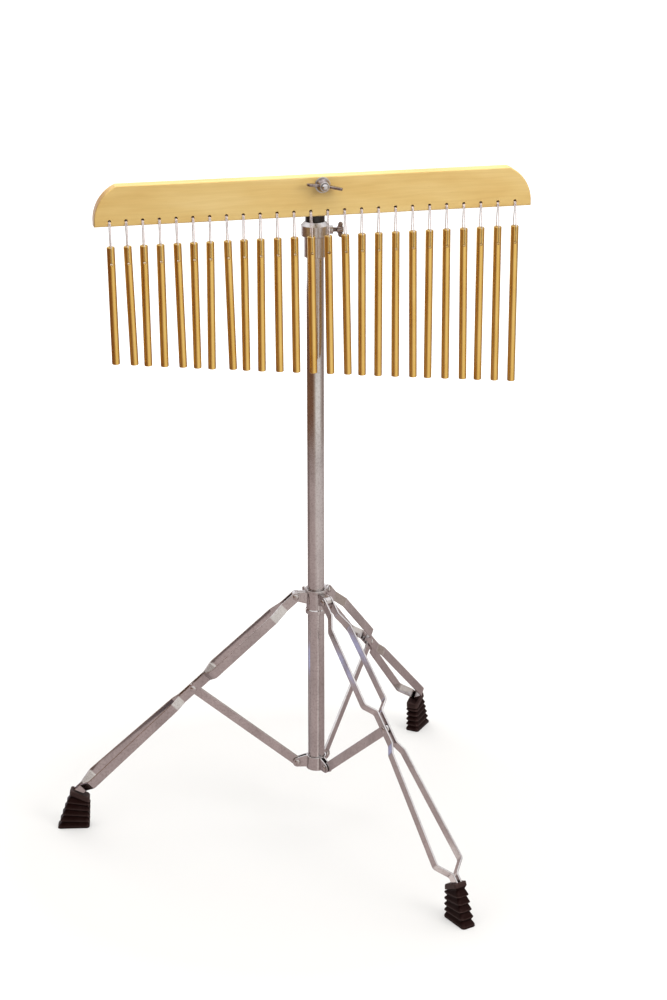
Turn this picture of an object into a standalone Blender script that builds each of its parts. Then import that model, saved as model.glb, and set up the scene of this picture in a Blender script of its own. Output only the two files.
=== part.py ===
# A row of hanging bar chimes on a folding, double-braced tripod stand.
# Metres, +Z up. The wooden mantle lies along X with its front face towards -Y.
# The origin is on the floor, under the middle of the whole object's box.

import math

import bmesh
import bpy
from mathutils import Matrix, Vector

MM = 0.001
GAP = 0.3 * MM  # between pieces that touch
WELD = 0.005 * MM
SHARP_ANGLE = math.radians(35)
ROUND_STEPS = 20  # facets round a large turned piece
SMALL_STEPS = 10  # facets round a pin, bolt or chime

# Mantle: the wooden bar that carries the chimes
MANTLE_LENGTH = 556 * MM
MANTLE_HEIGHT = 50 * MM
MANTLE_DEPTH = 18 * MM
MANTLE_END_RADIUS = 48 * MM
MANTLE_END_UPRIGHT = 6 * MM
MANTLE_EDGE_ROUND = 1.5 * MM
BOLT_BELOW_TOP = 10.5 * MM
BOLT_OFF_CENTRE = 7.2 * MM  # towards the long chimes, where the loaded bar balances

# Chimes and the cords they hang on
CHIME_COUNT = 25
CHIME_END_MARGIN = 20 * MM  # mantle's end to the first chime
CHIME_CROWDING = 6.5 * MM  # set-back of the middle one, as spacing opens towards the long chimes
CHIME_ROW_SHIFT = 1.3 * MM  # the whole row, towards the short chimes
CHIME_RADIUS = 5 * MM
CHIME_SHORTEST = 149.5 * MM
CHIME_LONGEST = 205.5 * MM
CHIME_EDGE = 1 * MM
CHIME_HOLE_BELOW_TOP = 21.5 * MM
CHIME_HOLE_RADIUS = 1.7 * MM
CORD_RADIUS = 0.7 * MM
CORD_HOLE_RADIUS = 1.7 * MM
CORD_HOLE_ABOVE_BOTTOM = 6.6 * MM
CORD_DROP = 24.5 * MM  # mantle's bottom edge to the chime's top
EYE_RADIUS = 1 * MM
KNOT_RADIUS = 2.4 * MM
HOLE_STEPS = 6
# Degrees each chime hangs off plumb, towards the long end
CHIME_LEANS = (
    0.8, 1.7, 0.6, 0.6, 1.4, 0.6, -0.2, 1.6, 0.4, 0, 0.5, 0.6, 0.7,
    0.9, 1.2, 0.3, 0.1, 0.3, 0.7, 0, 0.3, 0.6, 0, 0.1, 0.1,
)

# Mast: base tube, height clamp and the tube that slides in it
BASE_TUBE_RADIUS = 11.1 * MM
BASE_TUBE_WALL = 1.2 * MM
BASE_TUBE_TOP = 835 * MM
BASE_TUBE_BELOW_HUB = 1 * MM
UPPER_TUBE_RADIUS = 9.5 * MM
UPPER_TUBE_WALL = 1.2 * MM
UPPER_TUBE_LENGTH = 450 * MM
UPPER_TUBE_REVEAL = 15 * MM  # above the bushing when fully lowered
CLAMP_SLEEVE_WALL = 2.8 * MM
CLAMP_SLEEVE_LENGTH = 27 * MM
CLAMP_RING_WALL = 6.5 * MM
CLAMP_RING_HEIGHT = 14.6 * MM
CLAMP_RING_ABOVE_TUBE = 5.6 * MM
CLAMP_CONE_HEIGHT = 4 * MM
CLAMP_LIP_WALL = 1.6 * MM
CLAMP_EDGE = 0.8 * MM
CLAMP_BOLT_AZIMUTH = math.radians(-10)
BUSHING_FLANGE_HEIGHT = 8 * MM
BUSHING_FLANGE_OVERHANG = 1.3 * MM

# Tilter between the mast and the mantle
TILT_PIVOT_RISE = 24 * MM  # above the top of the upper tube
KNUCKLE_RADIUS = 9.2 * MM
KNUCKLE_WIDTH = 9 * MM
TILTER_EAR_THICKNESS = 4 * MM
TILTER_PLUG_LENGTH = 22 * MM
ROD_RISE = 8.4 * MM  # rod axis above the tilt pivot
ROD_RADIUS = 4 * MM
ROD_BEYOND_NUT = 4 * MM
SHOULDER_REACH = 24 * MM  # tilt pivot to the face the mantle is drawn against
SHOULDER_RADIUS = 9 * MM
SHOULDER_THICKNESS = 3 * MM
NECK_RADIUS = 5.5 * MM
BACK_WASHER_RADIUS = 10 * MM
BACK_WASHER_THICKNESS = 1.6 * MM
FRONT_WASHER_RADIUS = 10 * MM
FRONT_WASHER_THICKNESS = 1.4 * MM

# Wing nut on the rod, and the wing bolts
NUT_BASE_RADIUS = 8.5 * MM
NUT_TOP_RADIUS = 6 * MM
NUT_HEIGHT = 12 * MM
NUT_WING_REACH = 19.5 * MM
NUT_WING_RISE = 11 * MM
NUT_WING_ROOT_RADIUS = 4.5 * MM
NUT_WING_TIP_RADIUS = 3.6 * MM
NUT_TURN = math.radians(10)
WING_THICKNESS = 2.6 * MM
BOLT_RADIUS = 3 * MM
BOLT_HUB_RADIUS = 4.2 * MM
BOLT_HUB_HEIGHT = 8 * MM
BOLT_WING_REACH = 7 * MM
BOLT_WING_TIP_RADIUS = 3 * MM
BOLT_BOSS_RADIUS = 5.5 * MM
BOLT_BOSS_LENGTH = 5 * MM
BOLT_SHOW = 5 * MM  # bare shank between boss and wing

# Tripod linkage, in the upright plane of a leg
LEG_COUNT = 3
FRONT_LEG_AZIMUTH = math.radians(-69.5)
COLLAR_PIVOT_HEIGHT = 334 * MM
COLLAR_PIVOT_RADIUS = 27 * MM
HUB_PIVOT_HEIGHT = 89 * MM
HUB_PIVOT_RADIUS = 26 * MM
LEG_TO_RIVET = 191.4 * MM
STRUT_LENGTH = 180.9 * MM

# Leg strips and struts: flat bar on edge
BAR_WIDTH = 12.5 * MM
STRIP_THICKNESS = 2.4 * MM
STRUT_THICKNESS = 3 * MM
STRUT_CLEARANCE = 0.7 * MM  # strut to each strip, and to each hub ear
PIN_RADIUS = 2.4 * MM
PIN_HEAD_RADIUS = 4.2 * MM
PIN_HEAD_HEIGHT = 2 * MM
STRIP_END_ROUND = 5 * MM
UPPER_SPREAD_START = 22 * MM  # along the leg from the collar pivot
UPPER_SPREAD_FULL = 42 * MM
UPPER_SPREAD_HALF = 14.5 * MM
UPPER_SPREAD_END_HALF = 16.5 * MM
RIVET_STRAIGHT = 25 * MM  # before the rivet, where the strips run close together
RIVET_STRAIGHT_AFTER = 22 * MM
BEND_RUN = 13 * MM
LOWER_SPREAD_HALF = 9.5 * MM
LOWER_SPREAD_END_HALF = 19.5 * MM
FOOT_BEND_RUN = 17 * MM
TONGUE_HALF = 3 * MM  # strip centres where they enter the foot
TONGUE_SHOW = 12 * MM
TONGUE_DEPTH = 5 * MM

# Leg collar and lower hub
COLLAR_WALL = 1.5 * MM
COLLAR_BELOW_PIVOT = 24 * MM
COLLAR_ABOVE_PIVOT = 10.5 * MM
COLLAR_FLANGE_WALL = 4 * MM
COLLAR_FLANGE_HEIGHT = 3.8 * MM
COLLAR_BEAD_WALL = 2.6 * MM
COLLAR_BEAD_HEIGHT = 7 * MM
LUG_HALF = 3.9 * MM
LUG_TIP_RADIUS = 6.3 * MM
LUG_ROOT_RADIUS = 8.5 * MM
COLLAR_BOLT_DROP = 7 * MM  # wing bolt below the leg pivots
HUB_WALL = 2.4 * MM
HUB_BELOW_PIVOT = 9 * MM
HUB_ABOVE_PIVOT = 10 * MM
HUB_EAR_THICKNESS = 2 * MM
HUB_EAR_TIP_RADIUS = 6.5 * MM
HUB_EAR_ROOT_RADIUS = 8.5 * MM

# Rubber feet
FOOT_HEIGHT = 51 * MM
FOOT_RIBS = 5
FOOT_RIB_PITCH = 8.6 * MM
FOOT_RIB_FALL = 5.4 * MM
FOOT_RIB_DEPTH = 2.4 * MM
FOOT_FIRST_RIB = 2.6 * MM
FOOT_SOLE_HALF = 22 * MM
FOOT_SOLE_HALF_WIDTH = 10.5 * MM
FOOT_TOP_HALF = 14 * MM
FOOT_TOP_HALF_WIDTH = 9 * MM
FOOT_LEAN = 11 * MM  # sole centre outboard of the top's centre
FOOT_INSET = 4.5 * MM  # top's centre inboard of the leg's axis
FOOT_TOP_TILT = math.radians(26)
FOOT_CORNER = 4 * MM
FOOT_SOLE_EDGE = 1 * MM


def rivet_place():
    hub = Vector((HUB_PIVOT_RADIUS, HUB_PIVOT_HEIGHT))
    span = Vector((COLLAR_PIVOT_RADIUS, COLLAR_PIVOT_HEIGHT)) - hub
    along = (STRUT_LENGTH**2 - LEG_TO_RIVET**2 + span.length**2) / (2 * span.length)
    out = math.sqrt(STRUT_LENGTH**2 - along**2)
    heading = span.normalized()
    return hub + along * heading + out * Vector((heading.y, -heading.x))


# Places worked out from the sizes above
CHIME_PITCH = (MANTLE_LENGTH - 2 * CHIME_END_MARGIN) / (CHIME_COUNT - 1)
RIVET = rivet_place()
LEG_FALL = math.atan2(COLLAR_PIVOT_HEIGHT - RIVET.y, RIVET.x - COLLAR_PIVOT_RADIUS)
STRUT_RISE = math.atan2(RIVET.y - HUB_PIVOT_HEIGHT, RIVET.x - HUB_PIVOT_RADIUS)
LEG_TO_FOOT = (COLLAR_PIVOT_HEIGHT - FOOT_HEIGHT) / math.sin(LEG_FALL)
CLAMP_BORE = BASE_TUBE_RADIUS + GAP
CLAMP_RING_TOP = BASE_TUBE_TOP + CLAMP_RING_ABOVE_TUBE
CLAMP_TOP = CLAMP_RING_TOP + CLAMP_CONE_HEIGHT
CLAMP_RING_BOTTOM = CLAMP_RING_TOP - CLAMP_RING_HEIGHT
CLAMP_BOLT_HEIGHT = CLAMP_RING_TOP - CLAMP_RING_HEIGHT / 2
UPPER_TUBE_TOP = CLAMP_TOP + GAP + BUSHING_FLANGE_HEIGHT + UPPER_TUBE_REVEAL
TILT_HEIGHT = UPPER_TUBE_TOP + TILT_PIVOT_RISE
ROD_HEIGHT = TILT_HEIGHT + ROD_RISE
MANTLE_BACK = -(SHOULDER_REACH + BACK_WASHER_THICKNESS + 2 * GAP)
MANTLE_FRONT = MANTLE_BACK - MANTLE_DEPTH
MANTLE_BOTTOM = ROD_HEIGHT + BOLT_BELOW_TOP - MANTLE_HEIGHT
NUT_SEAT = MANTLE_FRONT - FRONT_WASHER_THICKNESS - 2 * GAP
CHIME_HINGE_DEPTH = MANTLE_FRONT - GAP - EYE_RADIUS
COLLAR_BORE = BASE_TUBE_RADIUS + GAP
STRIP_CLOSE_HALF = STRUT_THICKNESS / 2 + STRUT_CLEARANCE + STRIP_THICKNESS / 2
STRIP_COLLAR_HALF = LUG_HALF + GAP + STRIP_THICKNESS / 2
EAR_HALF = STRUT_THICKNESS / 2 + STRUT_CLEARANCE
COLLAR_BOLT_HEIGHT = COLLAR_PIVOT_HEIGHT - COLLAR_BOLT_DROP
LEG_STEP = 2 * math.pi / LEG_COUNT
LEGS = {
    "front": FRONT_LEG_AZIMUTH,
    "rear": FRONT_LEG_AZIMUTH + LEG_STEP,
    "left": FRONT_LEG_AZIMUTH - LEG_STEP,
}
COLLAR_BOLT_AZIMUTH = LEGS["rear"] + LEG_STEP / 2


def new_collection(name):
    made = bpy.data.collections.new(name)
    bpy.context.scene.collection.children.link(made)
    return made


def clear_scene():
    for obj in list(bpy.data.objects):
        bpy.data.objects.remove(obj, do_unlink=True)


def finish(name, colour, roughness, metallic):
    made = bpy.data.materials.new(name)
    made.use_nodes = True
    shader = made.node_tree.nodes["Principled BSDF"]
    shader.inputs["Base Color"].default_value = (*colour, 1)
    shader.inputs["Roughness"].default_value = roughness
    shader.inputs["Metallic"].default_value = metallic
    return made


clear_scene()
parts = new_collection("bar_chime_tree")
cutters = new_collection("cutters")


def helper(data):
    obj = bpy.data.objects.new("helper", data)
    cutters.objects.link(obj)
    obj.hide_render = True
    obj.display_type = "WIRE"
    return obj


def solid(obj, matrix=None):
    """The helper's evaluated mesh, welded and facing out. The helper is removed."""
    graph = bpy.context.evaluated_depsgraph_get()
    mesh = bpy.data.meshes.new_from_object(obj.evaluated_get(graph))
    bpy.data.objects.remove(obj)
    shape = bmesh.new()
    shape.from_mesh(mesh)
    bmesh.ops.remove_doubles(shape, verts=shape.verts, dist=WELD)
    bmesh.ops.dissolve_degenerate(shape, edges=shape.edges, dist=WELD)
    bmesh.ops.recalc_face_normals(shape, faces=shape.faces)
    shape.transform(matrix or Matrix())
    shape.to_mesh(mesh)
    shape.free()
    return mesh


def plate(loops, thickness, matrix=None):
    """Flat outline in XY, with any holes as further loops, extruded both ways along Z."""
    curve = bpy.data.curves.new("outline", "CURVE")
    curve.dimensions = "2D"
    curve.fill_mode = "BOTH"
    curve.extrude = thickness / 2
    for loop in loops:
        spline = curve.splines.new("POLY")
        spline.points.add(len(loop) - 1)
        for point, (x, y) in zip(spline.points, loop):
            point.co = (x, y, 0, 1)
        spline.use_cyclic_u = True
    return solid(helper(curve), matrix)


def turned(profile, steps, matrix=None):
    """Profile of (radius, height), turned about Z. Off the axis at both ends, it closes into a ring."""
    mesh = bpy.data.meshes.new("profile")
    edges = [(i, i + 1) for i in range(len(profile) - 1)]
    if profile[0][0] > 0:
        edges.append((len(profile) - 1, 0))
    mesh.from_pydata([(radius, 0, height) for radius, height in profile], edges, [])
    obj = helper(mesh)
    screw = obj.modifiers.new("turn", "SCREW")
    screw.steps = steps
    screw.render_steps = steps
    screw.use_merge_vertices = True
    screw.merge_threshold = WELD
    return solid(obj, matrix)


def swept(points, radius, matrix=None, closed=False):
    """Cord along the points."""
    curve = bpy.data.curves.new("cord", "CURVE")
    curve.dimensions = "3D"
    curve.bevel_depth = radius
    curve.bevel_resolution = 0
    curve.use_fill_caps = not closed
    spline = curve.splines.new("POLY")
    spline.points.add(len(points) - 1)
    for point, place in zip(spline.points, points):
        point.co = (*place, 1)
    spline.use_cyclic_u = closed
    return solid(helper(curve), matrix)


def cylinder(radius, length, steps, matrix=None):
    """Cylinder along Z from 0 to its length."""
    return turned([(0, length), (radius, length), (radius, 0), (0, 0)], steps, matrix)


def box(low, high, matrix=None):
    shape = bmesh.new()
    bmesh.ops.create_cube(shape, size=1)
    size = [b - a for a, b in zip(low, high)]
    middle = [(a + b) / 2 for a, b in zip(low, high)]
    shape.transform((matrix or Matrix()) @ Matrix.Translation(middle) @ Matrix.Diagonal((*size, 1)))
    mesh = bpy.data.meshes.new("box")
    shape.to_mesh(mesh)
    shape.free()
    return mesh


def together(meshes):
    """Separate meshes in one, for a single cut or union."""
    shape = bmesh.new()
    for mesh in meshes:
        shape.from_mesh(mesh)
    made = bpy.data.meshes.new("together")
    shape.to_mesh(made)
    shape.free()
    return made


def combined(operation, base, others):
    obj = helper(base)
    tools = [helper(other) for other in others]
    for tool in tools:
        step = obj.modifiers.new("combine", "BOOLEAN")
        step.operation = operation
        step.solver = "EXACT"
        step.object = tool
    mesh = solid(obj)
    for tool in tools:
        bpy.data.objects.remove(tool)
    return mesh


def union(base, *others):
    return combined("UNION", base, others)


def cut(base, *others):
    return combined("DIFFERENCE", base, others)


def moved(x=0, y=0, z=0):
    return Matrix.Translation((x, y, z))


def spin(angle, axis):
    return Matrix.Rotation(angle, 4, axis)


def arc(centre, radius, start, end, steps):
    angles = [start + (end - start) * i / steps for i in range(steps + 1)]
    return [(centre[0] + radius * math.cos(a), centre[1] + radius * math.sin(a)) for a in angles]


def ring_points(centre, radius, steps, turn=0):
    return arc(centre, radius, turn, turn + 2 * math.pi, steps)[:-1]


def capsule(start, start_radius, end, end_radius, steps=6, near_steps=3):
    """Outline round two circles, with the straight sides that touch both."""
    run = Vector(end) - Vector(start)
    heading = math.atan2(run.y, run.x)
    touch = math.acos((start_radius - end_radius) / run.length)
    far = arc(end, end_radius, heading - touch, heading + touch, steps)
    near = arc(start, start_radius, heading + touch, heading + 2 * math.pi - touch, near_steps)
    return far + near


def ribbon(path, thickness):
    """Outline of a bar of even thickness bent along the path."""
    sides = []
    for i, here in enumerate(path):
        before = Vector(here) - Vector(path[max(i - 1, 0)])
        after = Vector(path[min(i + 1, len(path) - 1)]) - Vector(here)
        first = before.normalized() if before.length else after.normalized()
        second = after.normalized() if after.length else before.normalized()
        across = Vector((-(first + second).y, (first + second).x)).normalized()
        reach = thickness / 2 / max(across.dot(Vector((-first.y, first.x))), 0.2)
        sides.append((Vector(here) + across * reach, Vector(here) - across * reach))
    return [tuple(a) for a, b in sides] + [tuple(b) for a, b in reversed(sides)]


def lathe_to_y():
    """Turns a piece modelled along +Z so that it points to -Y."""
    return spin(math.pi / 2, "X")


def upright():
    """Stands an XY outline up in the XZ plane."""
    return spin(math.pi / 2, "X")


def add_part(name, mesh, look, parent, location=(0, 0, 0), rotation=(0, 0, 0)):
    mesh.name = name
    mesh.materials.clear()
    mesh.materials.append(look)
    mesh.shade_smooth()
    mesh.set_sharp_from_angle(angle=SHARP_ANGLE)
    obj = bpy.data.objects.new(name, mesh)
    parts.objects.link(obj)
    obj.parent = parent
    obj.location = location
    obj.rotation_euler = rotation
    return obj


def add_empty(name, parent=None, location=(0, 0, 0), rotation=(0, 0, 0)):
    obj = bpy.data.objects.new(name, None)
    parts.objects.link(obj)
    obj.parent = parent
    obj.location = location
    obj.rotation_euler = rotation
    return obj


WOOD = finish("maple", (0.72, 0.50, 0.19), 0.45, 0)
GOLD = finish("gold_anodised", (0.72, 0.50, 0.15), 0.32, 1)
CHROME = finish("chrome", (0.62, 0.58, 0.56), 0.12, 1)
STEEL = finish("zinc_plate", (0.60, 0.58, 0.55), 0.3, 1)
RUBBER = finish("rubber", (0.018, 0.012, 0.012), 0.6, 0)
NYLON = finish("nylon", (0.012, 0.012, 0.015), 0.4, 0)


def chime_places():
    half = (CHIME_COUNT - 1) / 2
    centre = -BOLT_OFF_CENTRE - CHIME_ROW_SHIFT
    steps = [i - half for i in range(CHIME_COUNT)]
    back = [CHIME_CROWDING * (1 - (step / max(half, 1)) ** 2) for step in steps]
    return [centre + CHIME_PITCH * step - shift for step, shift in zip(steps, back)]


def mantle_outline():
    left = -BOLT_OFF_CENTRE - MANTLE_LENGTH / 2
    right = -BOLT_OFF_CENTRE + MANTLE_LENGTH / 2
    bottom = BOLT_BELOW_TOP - MANTLE_HEIGHT
    rise = MANTLE_HEIGHT - MANTLE_END_UPRIGHT
    radius = max(MANTLE_END_RADIUS, rise)
    sweep = math.asin(rise / radius)
    shoulder = bottom + MANTLE_END_UPRIGHT
    right_end = arc((right - radius, shoulder), radius, 0, sweep, 8)
    left_end = arc((left + radius, shoulder), radius, math.pi - sweep, math.pi, 8)
    return [(left, bottom), (right, bottom)] + right_end + left_end


def round_outer_edges(mesh, holes, hole_radius):
    shape = bmesh.new()
    shape.from_mesh(mesh)
    turn = math.radians(60)

    def on_hole(vert):
        return any(math.hypot(vert.co.x - x, vert.co.z - z) < 1.05 * hole_radius for x, z in holes)

    edges = [e for e in shape.edges if e.is_manifold and e.calc_face_angle() > turn]
    edges = [e for e in edges if not any(on_hole(vert) for vert in e.verts)]
    bmesh.ops.bevel(shape, geom=edges, offset=MANTLE_EDGE_ROUND, segments=1, profile=0.5, affect="EDGES")
    shape.to_mesh(mesh)
    shape.free()
    return mesh


def hanging_tail():
    """A cord from its knot behind the mantle, through the hole and down the front to the bottom edge."""
    bottom = BOLT_BELOW_TOP - MANTLE_HEIGHT
    hole = bottom + CORD_HOLE_ABOVE_BOTTOM
    lie = hole - (CORD_HOLE_RADIUS - CORD_RADIUS) / 2
    back = MANTLE_DEPTH / 2
    out = -back - GAP - CORD_RADIUS
    end = bottom + EYE_RADIUS + GAP
    route = [(0, back, lie), (0, out, lie), (0, out, end)]
    dome = [
        (0, KNOT_RADIUS),
        (KNOT_RADIUS * 0.6, KNOT_RADIUS),
        (KNOT_RADIUS, KNOT_RADIUS / 2),
        (KNOT_RADIUS, -CORD_RADIUS),
        (0, -CORD_RADIUS),
    ]
    knot = turned(dome, HOLE_STEPS, moved(0, back, hole) @ spin(-math.pi / 2, "X"))
    return union(swept(route, CORD_RADIUS), knot)


def make_mantle(parent):
    bottom = BOLT_BELOW_TOP - MANTLE_HEIGHT
    places = chime_places()
    holes = [(x, bottom + CORD_HOLE_ABOVE_BOTTOM) for x in places]
    loops = [mantle_outline(), ring_points((0, 0), ROD_RADIUS + GAP, SMALL_STEPS)]
    loops += [ring_points(hole, CORD_HOLE_RADIUS, HOLE_STEPS, i) for i, hole in enumerate(holes)]
    board = plate(loops, MANTLE_DEPTH, upright())
    board = round_outer_edges(board, holes + [(0, 0)], max(CORD_HOLE_RADIUS, ROD_RADIUS + GAP))
    tail = hanging_tail()
    tails = []
    for x in places:
        copy = tail.copy()
        copy.transform(moved(x))
        tails.append(copy)
    mesh = union(board, together(tails))
    return add_part("mantle", mesh, WOOD, parent, (0, (MANTLE_FRONT + MANTLE_BACK) / 2, ROD_HEIGHT))


def make_chimes(parent):
    """Each rod hangs on a loop of cord from an eye at the mantle's bottom edge, which is its origin."""
    top = -CORD_DROP
    hole = top - CHIME_HOLE_BELOW_TOP
    face = CHIME_RADIUS + CORD_RADIUS + GAP
    crossing = hole + CHIME_HOLE_RADIUS - CORD_RADIUS / 2
    front = [(0, -face, top), (0, -face, hole + CORD_RADIUS), (0, -CHIME_RADIUS / 2, crossing)]
    behind = [(0, -y, z) for x, y, z in reversed(front)]
    loop = swept([(0, 0, 0)] + front + behind, CORD_RADIUS, closed=True)
    across = moved(0, 2 * CHIME_RADIUS, hole) @ lathe_to_y()
    drill = cylinder(CHIME_HOLE_RADIUS, 4 * CHIME_RADIUS, HOLE_STEPS, across)
    for i, x in enumerate(chime_places()):
        length = CHIME_SHORTEST + (CHIME_LONGEST - CHIME_SHORTEST) * i / (CHIME_COUNT - 1)
        end = top - length
        profile = [
            (0, top),
            (CHIME_RADIUS - CHIME_EDGE, top),
            (CHIME_RADIUS, top - CHIME_EDGE),
            (CHIME_RADIUS, end + CHIME_EDGE),
            (CHIME_RADIUS - CHIME_EDGE, end),
            (0, end),
        ]
        rod = cut(turned(profile, SMALL_STEPS), drill.copy())
        mesh = union(rod, loop.copy())
        lean = math.radians(CHIME_LEANS[i % len(CHIME_LEANS)])
        place = (x, CHIME_HINGE_DEPTH, MANTLE_BOTTOM)
        add_part(f"chime_{i + 1:02d}", mesh, GOLD, parent, place, (0, -lean, 0))


def tube(radius, wall, low, high):
    return turned([(radius, high), (radius, low), (radius - wall, low), (radius - wall, high)], ROUND_STEPS)


def washer(radius, hole, thickness):
    return turned([(radius, thickness), (radius, 0), (hole, 0), (hole, thickness)], ROUND_STEPS)


def wing_pair(root, root_radius, reach, rise, tip_radius):
    """Two flat wings in XZ, on either side of a hub along Z."""
    wings = []
    for side in (1, -1):
        outline = capsule((side * root, root_radius), root_radius, (side * reach, rise), tip_radius)
        wings.append(plate([outline], WING_THICKNESS, upright()))
    return wings


def wing_bolt(shank):
    """Wing bolt along +Z with the tip of its shank at the origin."""
    hub = shank + BOLT_HUB_HEIGHT
    profile = [
        (0, hub),
        (BOLT_HUB_RADIUS * 0.8, hub),
        (BOLT_HUB_RADIUS, hub - BOLT_HUB_RADIUS * 0.3),
        (BOLT_HUB_RADIUS, shank),
        (BOLT_RADIUS, shank),
        (BOLT_RADIUS, BOLT_RADIUS * 0.3),
        (BOLT_RADIUS * 0.7, 0),
        (0, 0),
    ]
    radius = BOLT_HUB_HEIGHT / 2 - MM
    rise = BOLT_HUB_HEIGHT / 2
    wings = wing_pair(BOLT_HUB_RADIUS / 2, radius, BOLT_WING_REACH, rise, BOLT_WING_TIP_RADIUS)
    for wing in wings:
        wing.transform(moved(z=shank + MM / 2))
    return union(turned(profile, SMALL_STEPS), *wings)


def radial(azimuth, radius, height):
    """Frame whose +Z points out along the azimuth, at this radius and height."""
    return moved(z=height) @ spin(azimuth, "Z") @ moved(x=radius) @ spin(math.pi / 2, "Y")


def make_wing_nut(parent):
    bore = ROD_RADIUS + GAP
    profile = [
        (NUT_TOP_RADIUS, NUT_HEIGHT),
        (NUT_BASE_RADIUS, NUT_HEIGHT / 3),
        (NUT_BASE_RADIUS, 0),
        (bore, 0),
        (bore, NUT_HEIGHT),
    ]
    root = NUT_BASE_RADIUS - NUT_WING_ROOT_RADIUS / 2
    wings = wing_pair(root, NUT_WING_ROOT_RADIUS, NUT_WING_REACH, NUT_WING_RISE, NUT_WING_TIP_RADIUS)
    mesh = union(turned(profile, ROUND_STEPS), *wings)
    mesh = cut(mesh, cylinder(bore, 3 * NUT_HEIGHT, ROUND_STEPS, moved(z=-NUT_HEIGHT)))
    mesh.transform(spin(NUT_TURN, "Y") @ lathe_to_y())
    add_part("wing_nut", mesh, STEEL, parent, (0, NUT_SEAT, ROD_HEIGHT))


def make_washers(parent):
    hole = ROD_RADIUS + GAP
    back = washer(BACK_WASHER_RADIUS, hole, BACK_WASHER_THICKNESS)
    back.transform(lathe_to_y())
    add_part("back_washer", back, STEEL, parent, (0, -SHOULDER_REACH - GAP, ROD_HEIGHT))
    front = washer(FRONT_WASHER_RADIUS, hole, FRONT_WASHER_THICKNESS)
    front.transform(lathe_to_y())
    add_part("front_washer", front, STEEL, parent, (0, MANTLE_FRONT - GAP, ROD_HEIGHT))


def make_tilter(parent):
    """A fork on the tube's top and an arm whose threaded rod carries the mantle."""
    seat = UPPER_TUBE_TOP + GAP - TILT_HEIGHT
    floor = -KNUCKLE_RADIUS - 2 * GAP
    plug = UPPER_TUBE_RADIUS - UPPER_TUBE_WALL - GAP
    stem = [
        (0, floor),
        (UPPER_TUBE_RADIUS, floor),
        (UPPER_TUBE_RADIUS, seat),
        (plug, seat),
        (plug, seat - TILTER_PLUG_LENGTH),
        (0, seat - TILTER_PLUG_LENGTH),
    ]
    ear_centre = KNUCKLE_WIDTH / 2 + GAP + TILTER_EAR_THICKNESS / 2
    root = (floor + seat) / 2
    across = moved(x=-2 * ear_centre) @ spin(math.pi / 2, "Y")
    bolt_hole = cylinder(BOLT_RADIUS + GAP, 4 * ear_centre, SMALL_STEPS, across)
    side_on = spin(math.pi / 2, "Z") @ upright()
    ears = []
    for side in (1, -1):
        outline = capsule((0, root), KNUCKLE_RADIUS * 0.7, (0, 0), KNUCKLE_RADIUS * 0.95, 8)
        ears.append(plate([outline], TILTER_EAR_THICKNESS, moved(x=side * ear_centre) @ side_on))
    block = box((-ear_centre, -KNUCKLE_RADIUS * 0.7, seat), (ear_centre, KNUCKLE_RADIUS * 0.7, floor))
    base = cut(union(turned(stem, ROUND_STEPS), block, *ears), bolt_hole.copy())
    add_part("tilter_base", base, CHROME, parent, (0, 0, TILT_HEIGHT))

    end = NUT_SEAT - NUT_HEIGHT - ROD_BEYOND_NUT
    shoulder = SHOULDER_REACH - SHOULDER_THICKNESS
    rod = [
        (0, -end),
        (ROD_RADIUS - MM, -end),
        (ROD_RADIUS, -end - MM),
        (ROD_RADIUS, SHOULDER_REACH),
        (SHOULDER_RADIUS, SHOULDER_REACH),
        (SHOULDER_RADIUS, shoulder),
        (NECK_RADIUS * 0.8, shoulder),
        (NECK_RADIUS * 0.8, shoulder - 2 * SHOULDER_THICKNESS),
        (0, shoulder - 2 * SHOULDER_THICKNESS),
    ]
    neck_end = (SHOULDER_THICKNESS - SHOULDER_REACH + NECK_RADIUS, ROD_RISE)
    neck = capsule((0, 0), KNUCKLE_RADIUS, neck_end, NECK_RADIUS, 4, 8)
    arm = plate([neck], KNUCKLE_WIDTH, side_on)
    arm = union(arm, turned(rod, SMALL_STEPS, moved(z=ROD_RISE) @ lathe_to_y()))
    add_part("tilter_arm", cut(arm, bolt_hole), CHROME, parent, (0, 0, TILT_HEIGHT))

    reach = ear_centre + TILTER_EAR_THICKNESS / 2
    bolt = wing_bolt(2 * reach + GAP)
    bolt.transform(moved(x=-reach) @ spin(math.pi / 2, "Y") @ spin(math.pi / 2, "Z"))
    add_part("tilter_bolt", bolt, STEEL, parent, (0, 0, TILT_HEIGHT))


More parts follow.
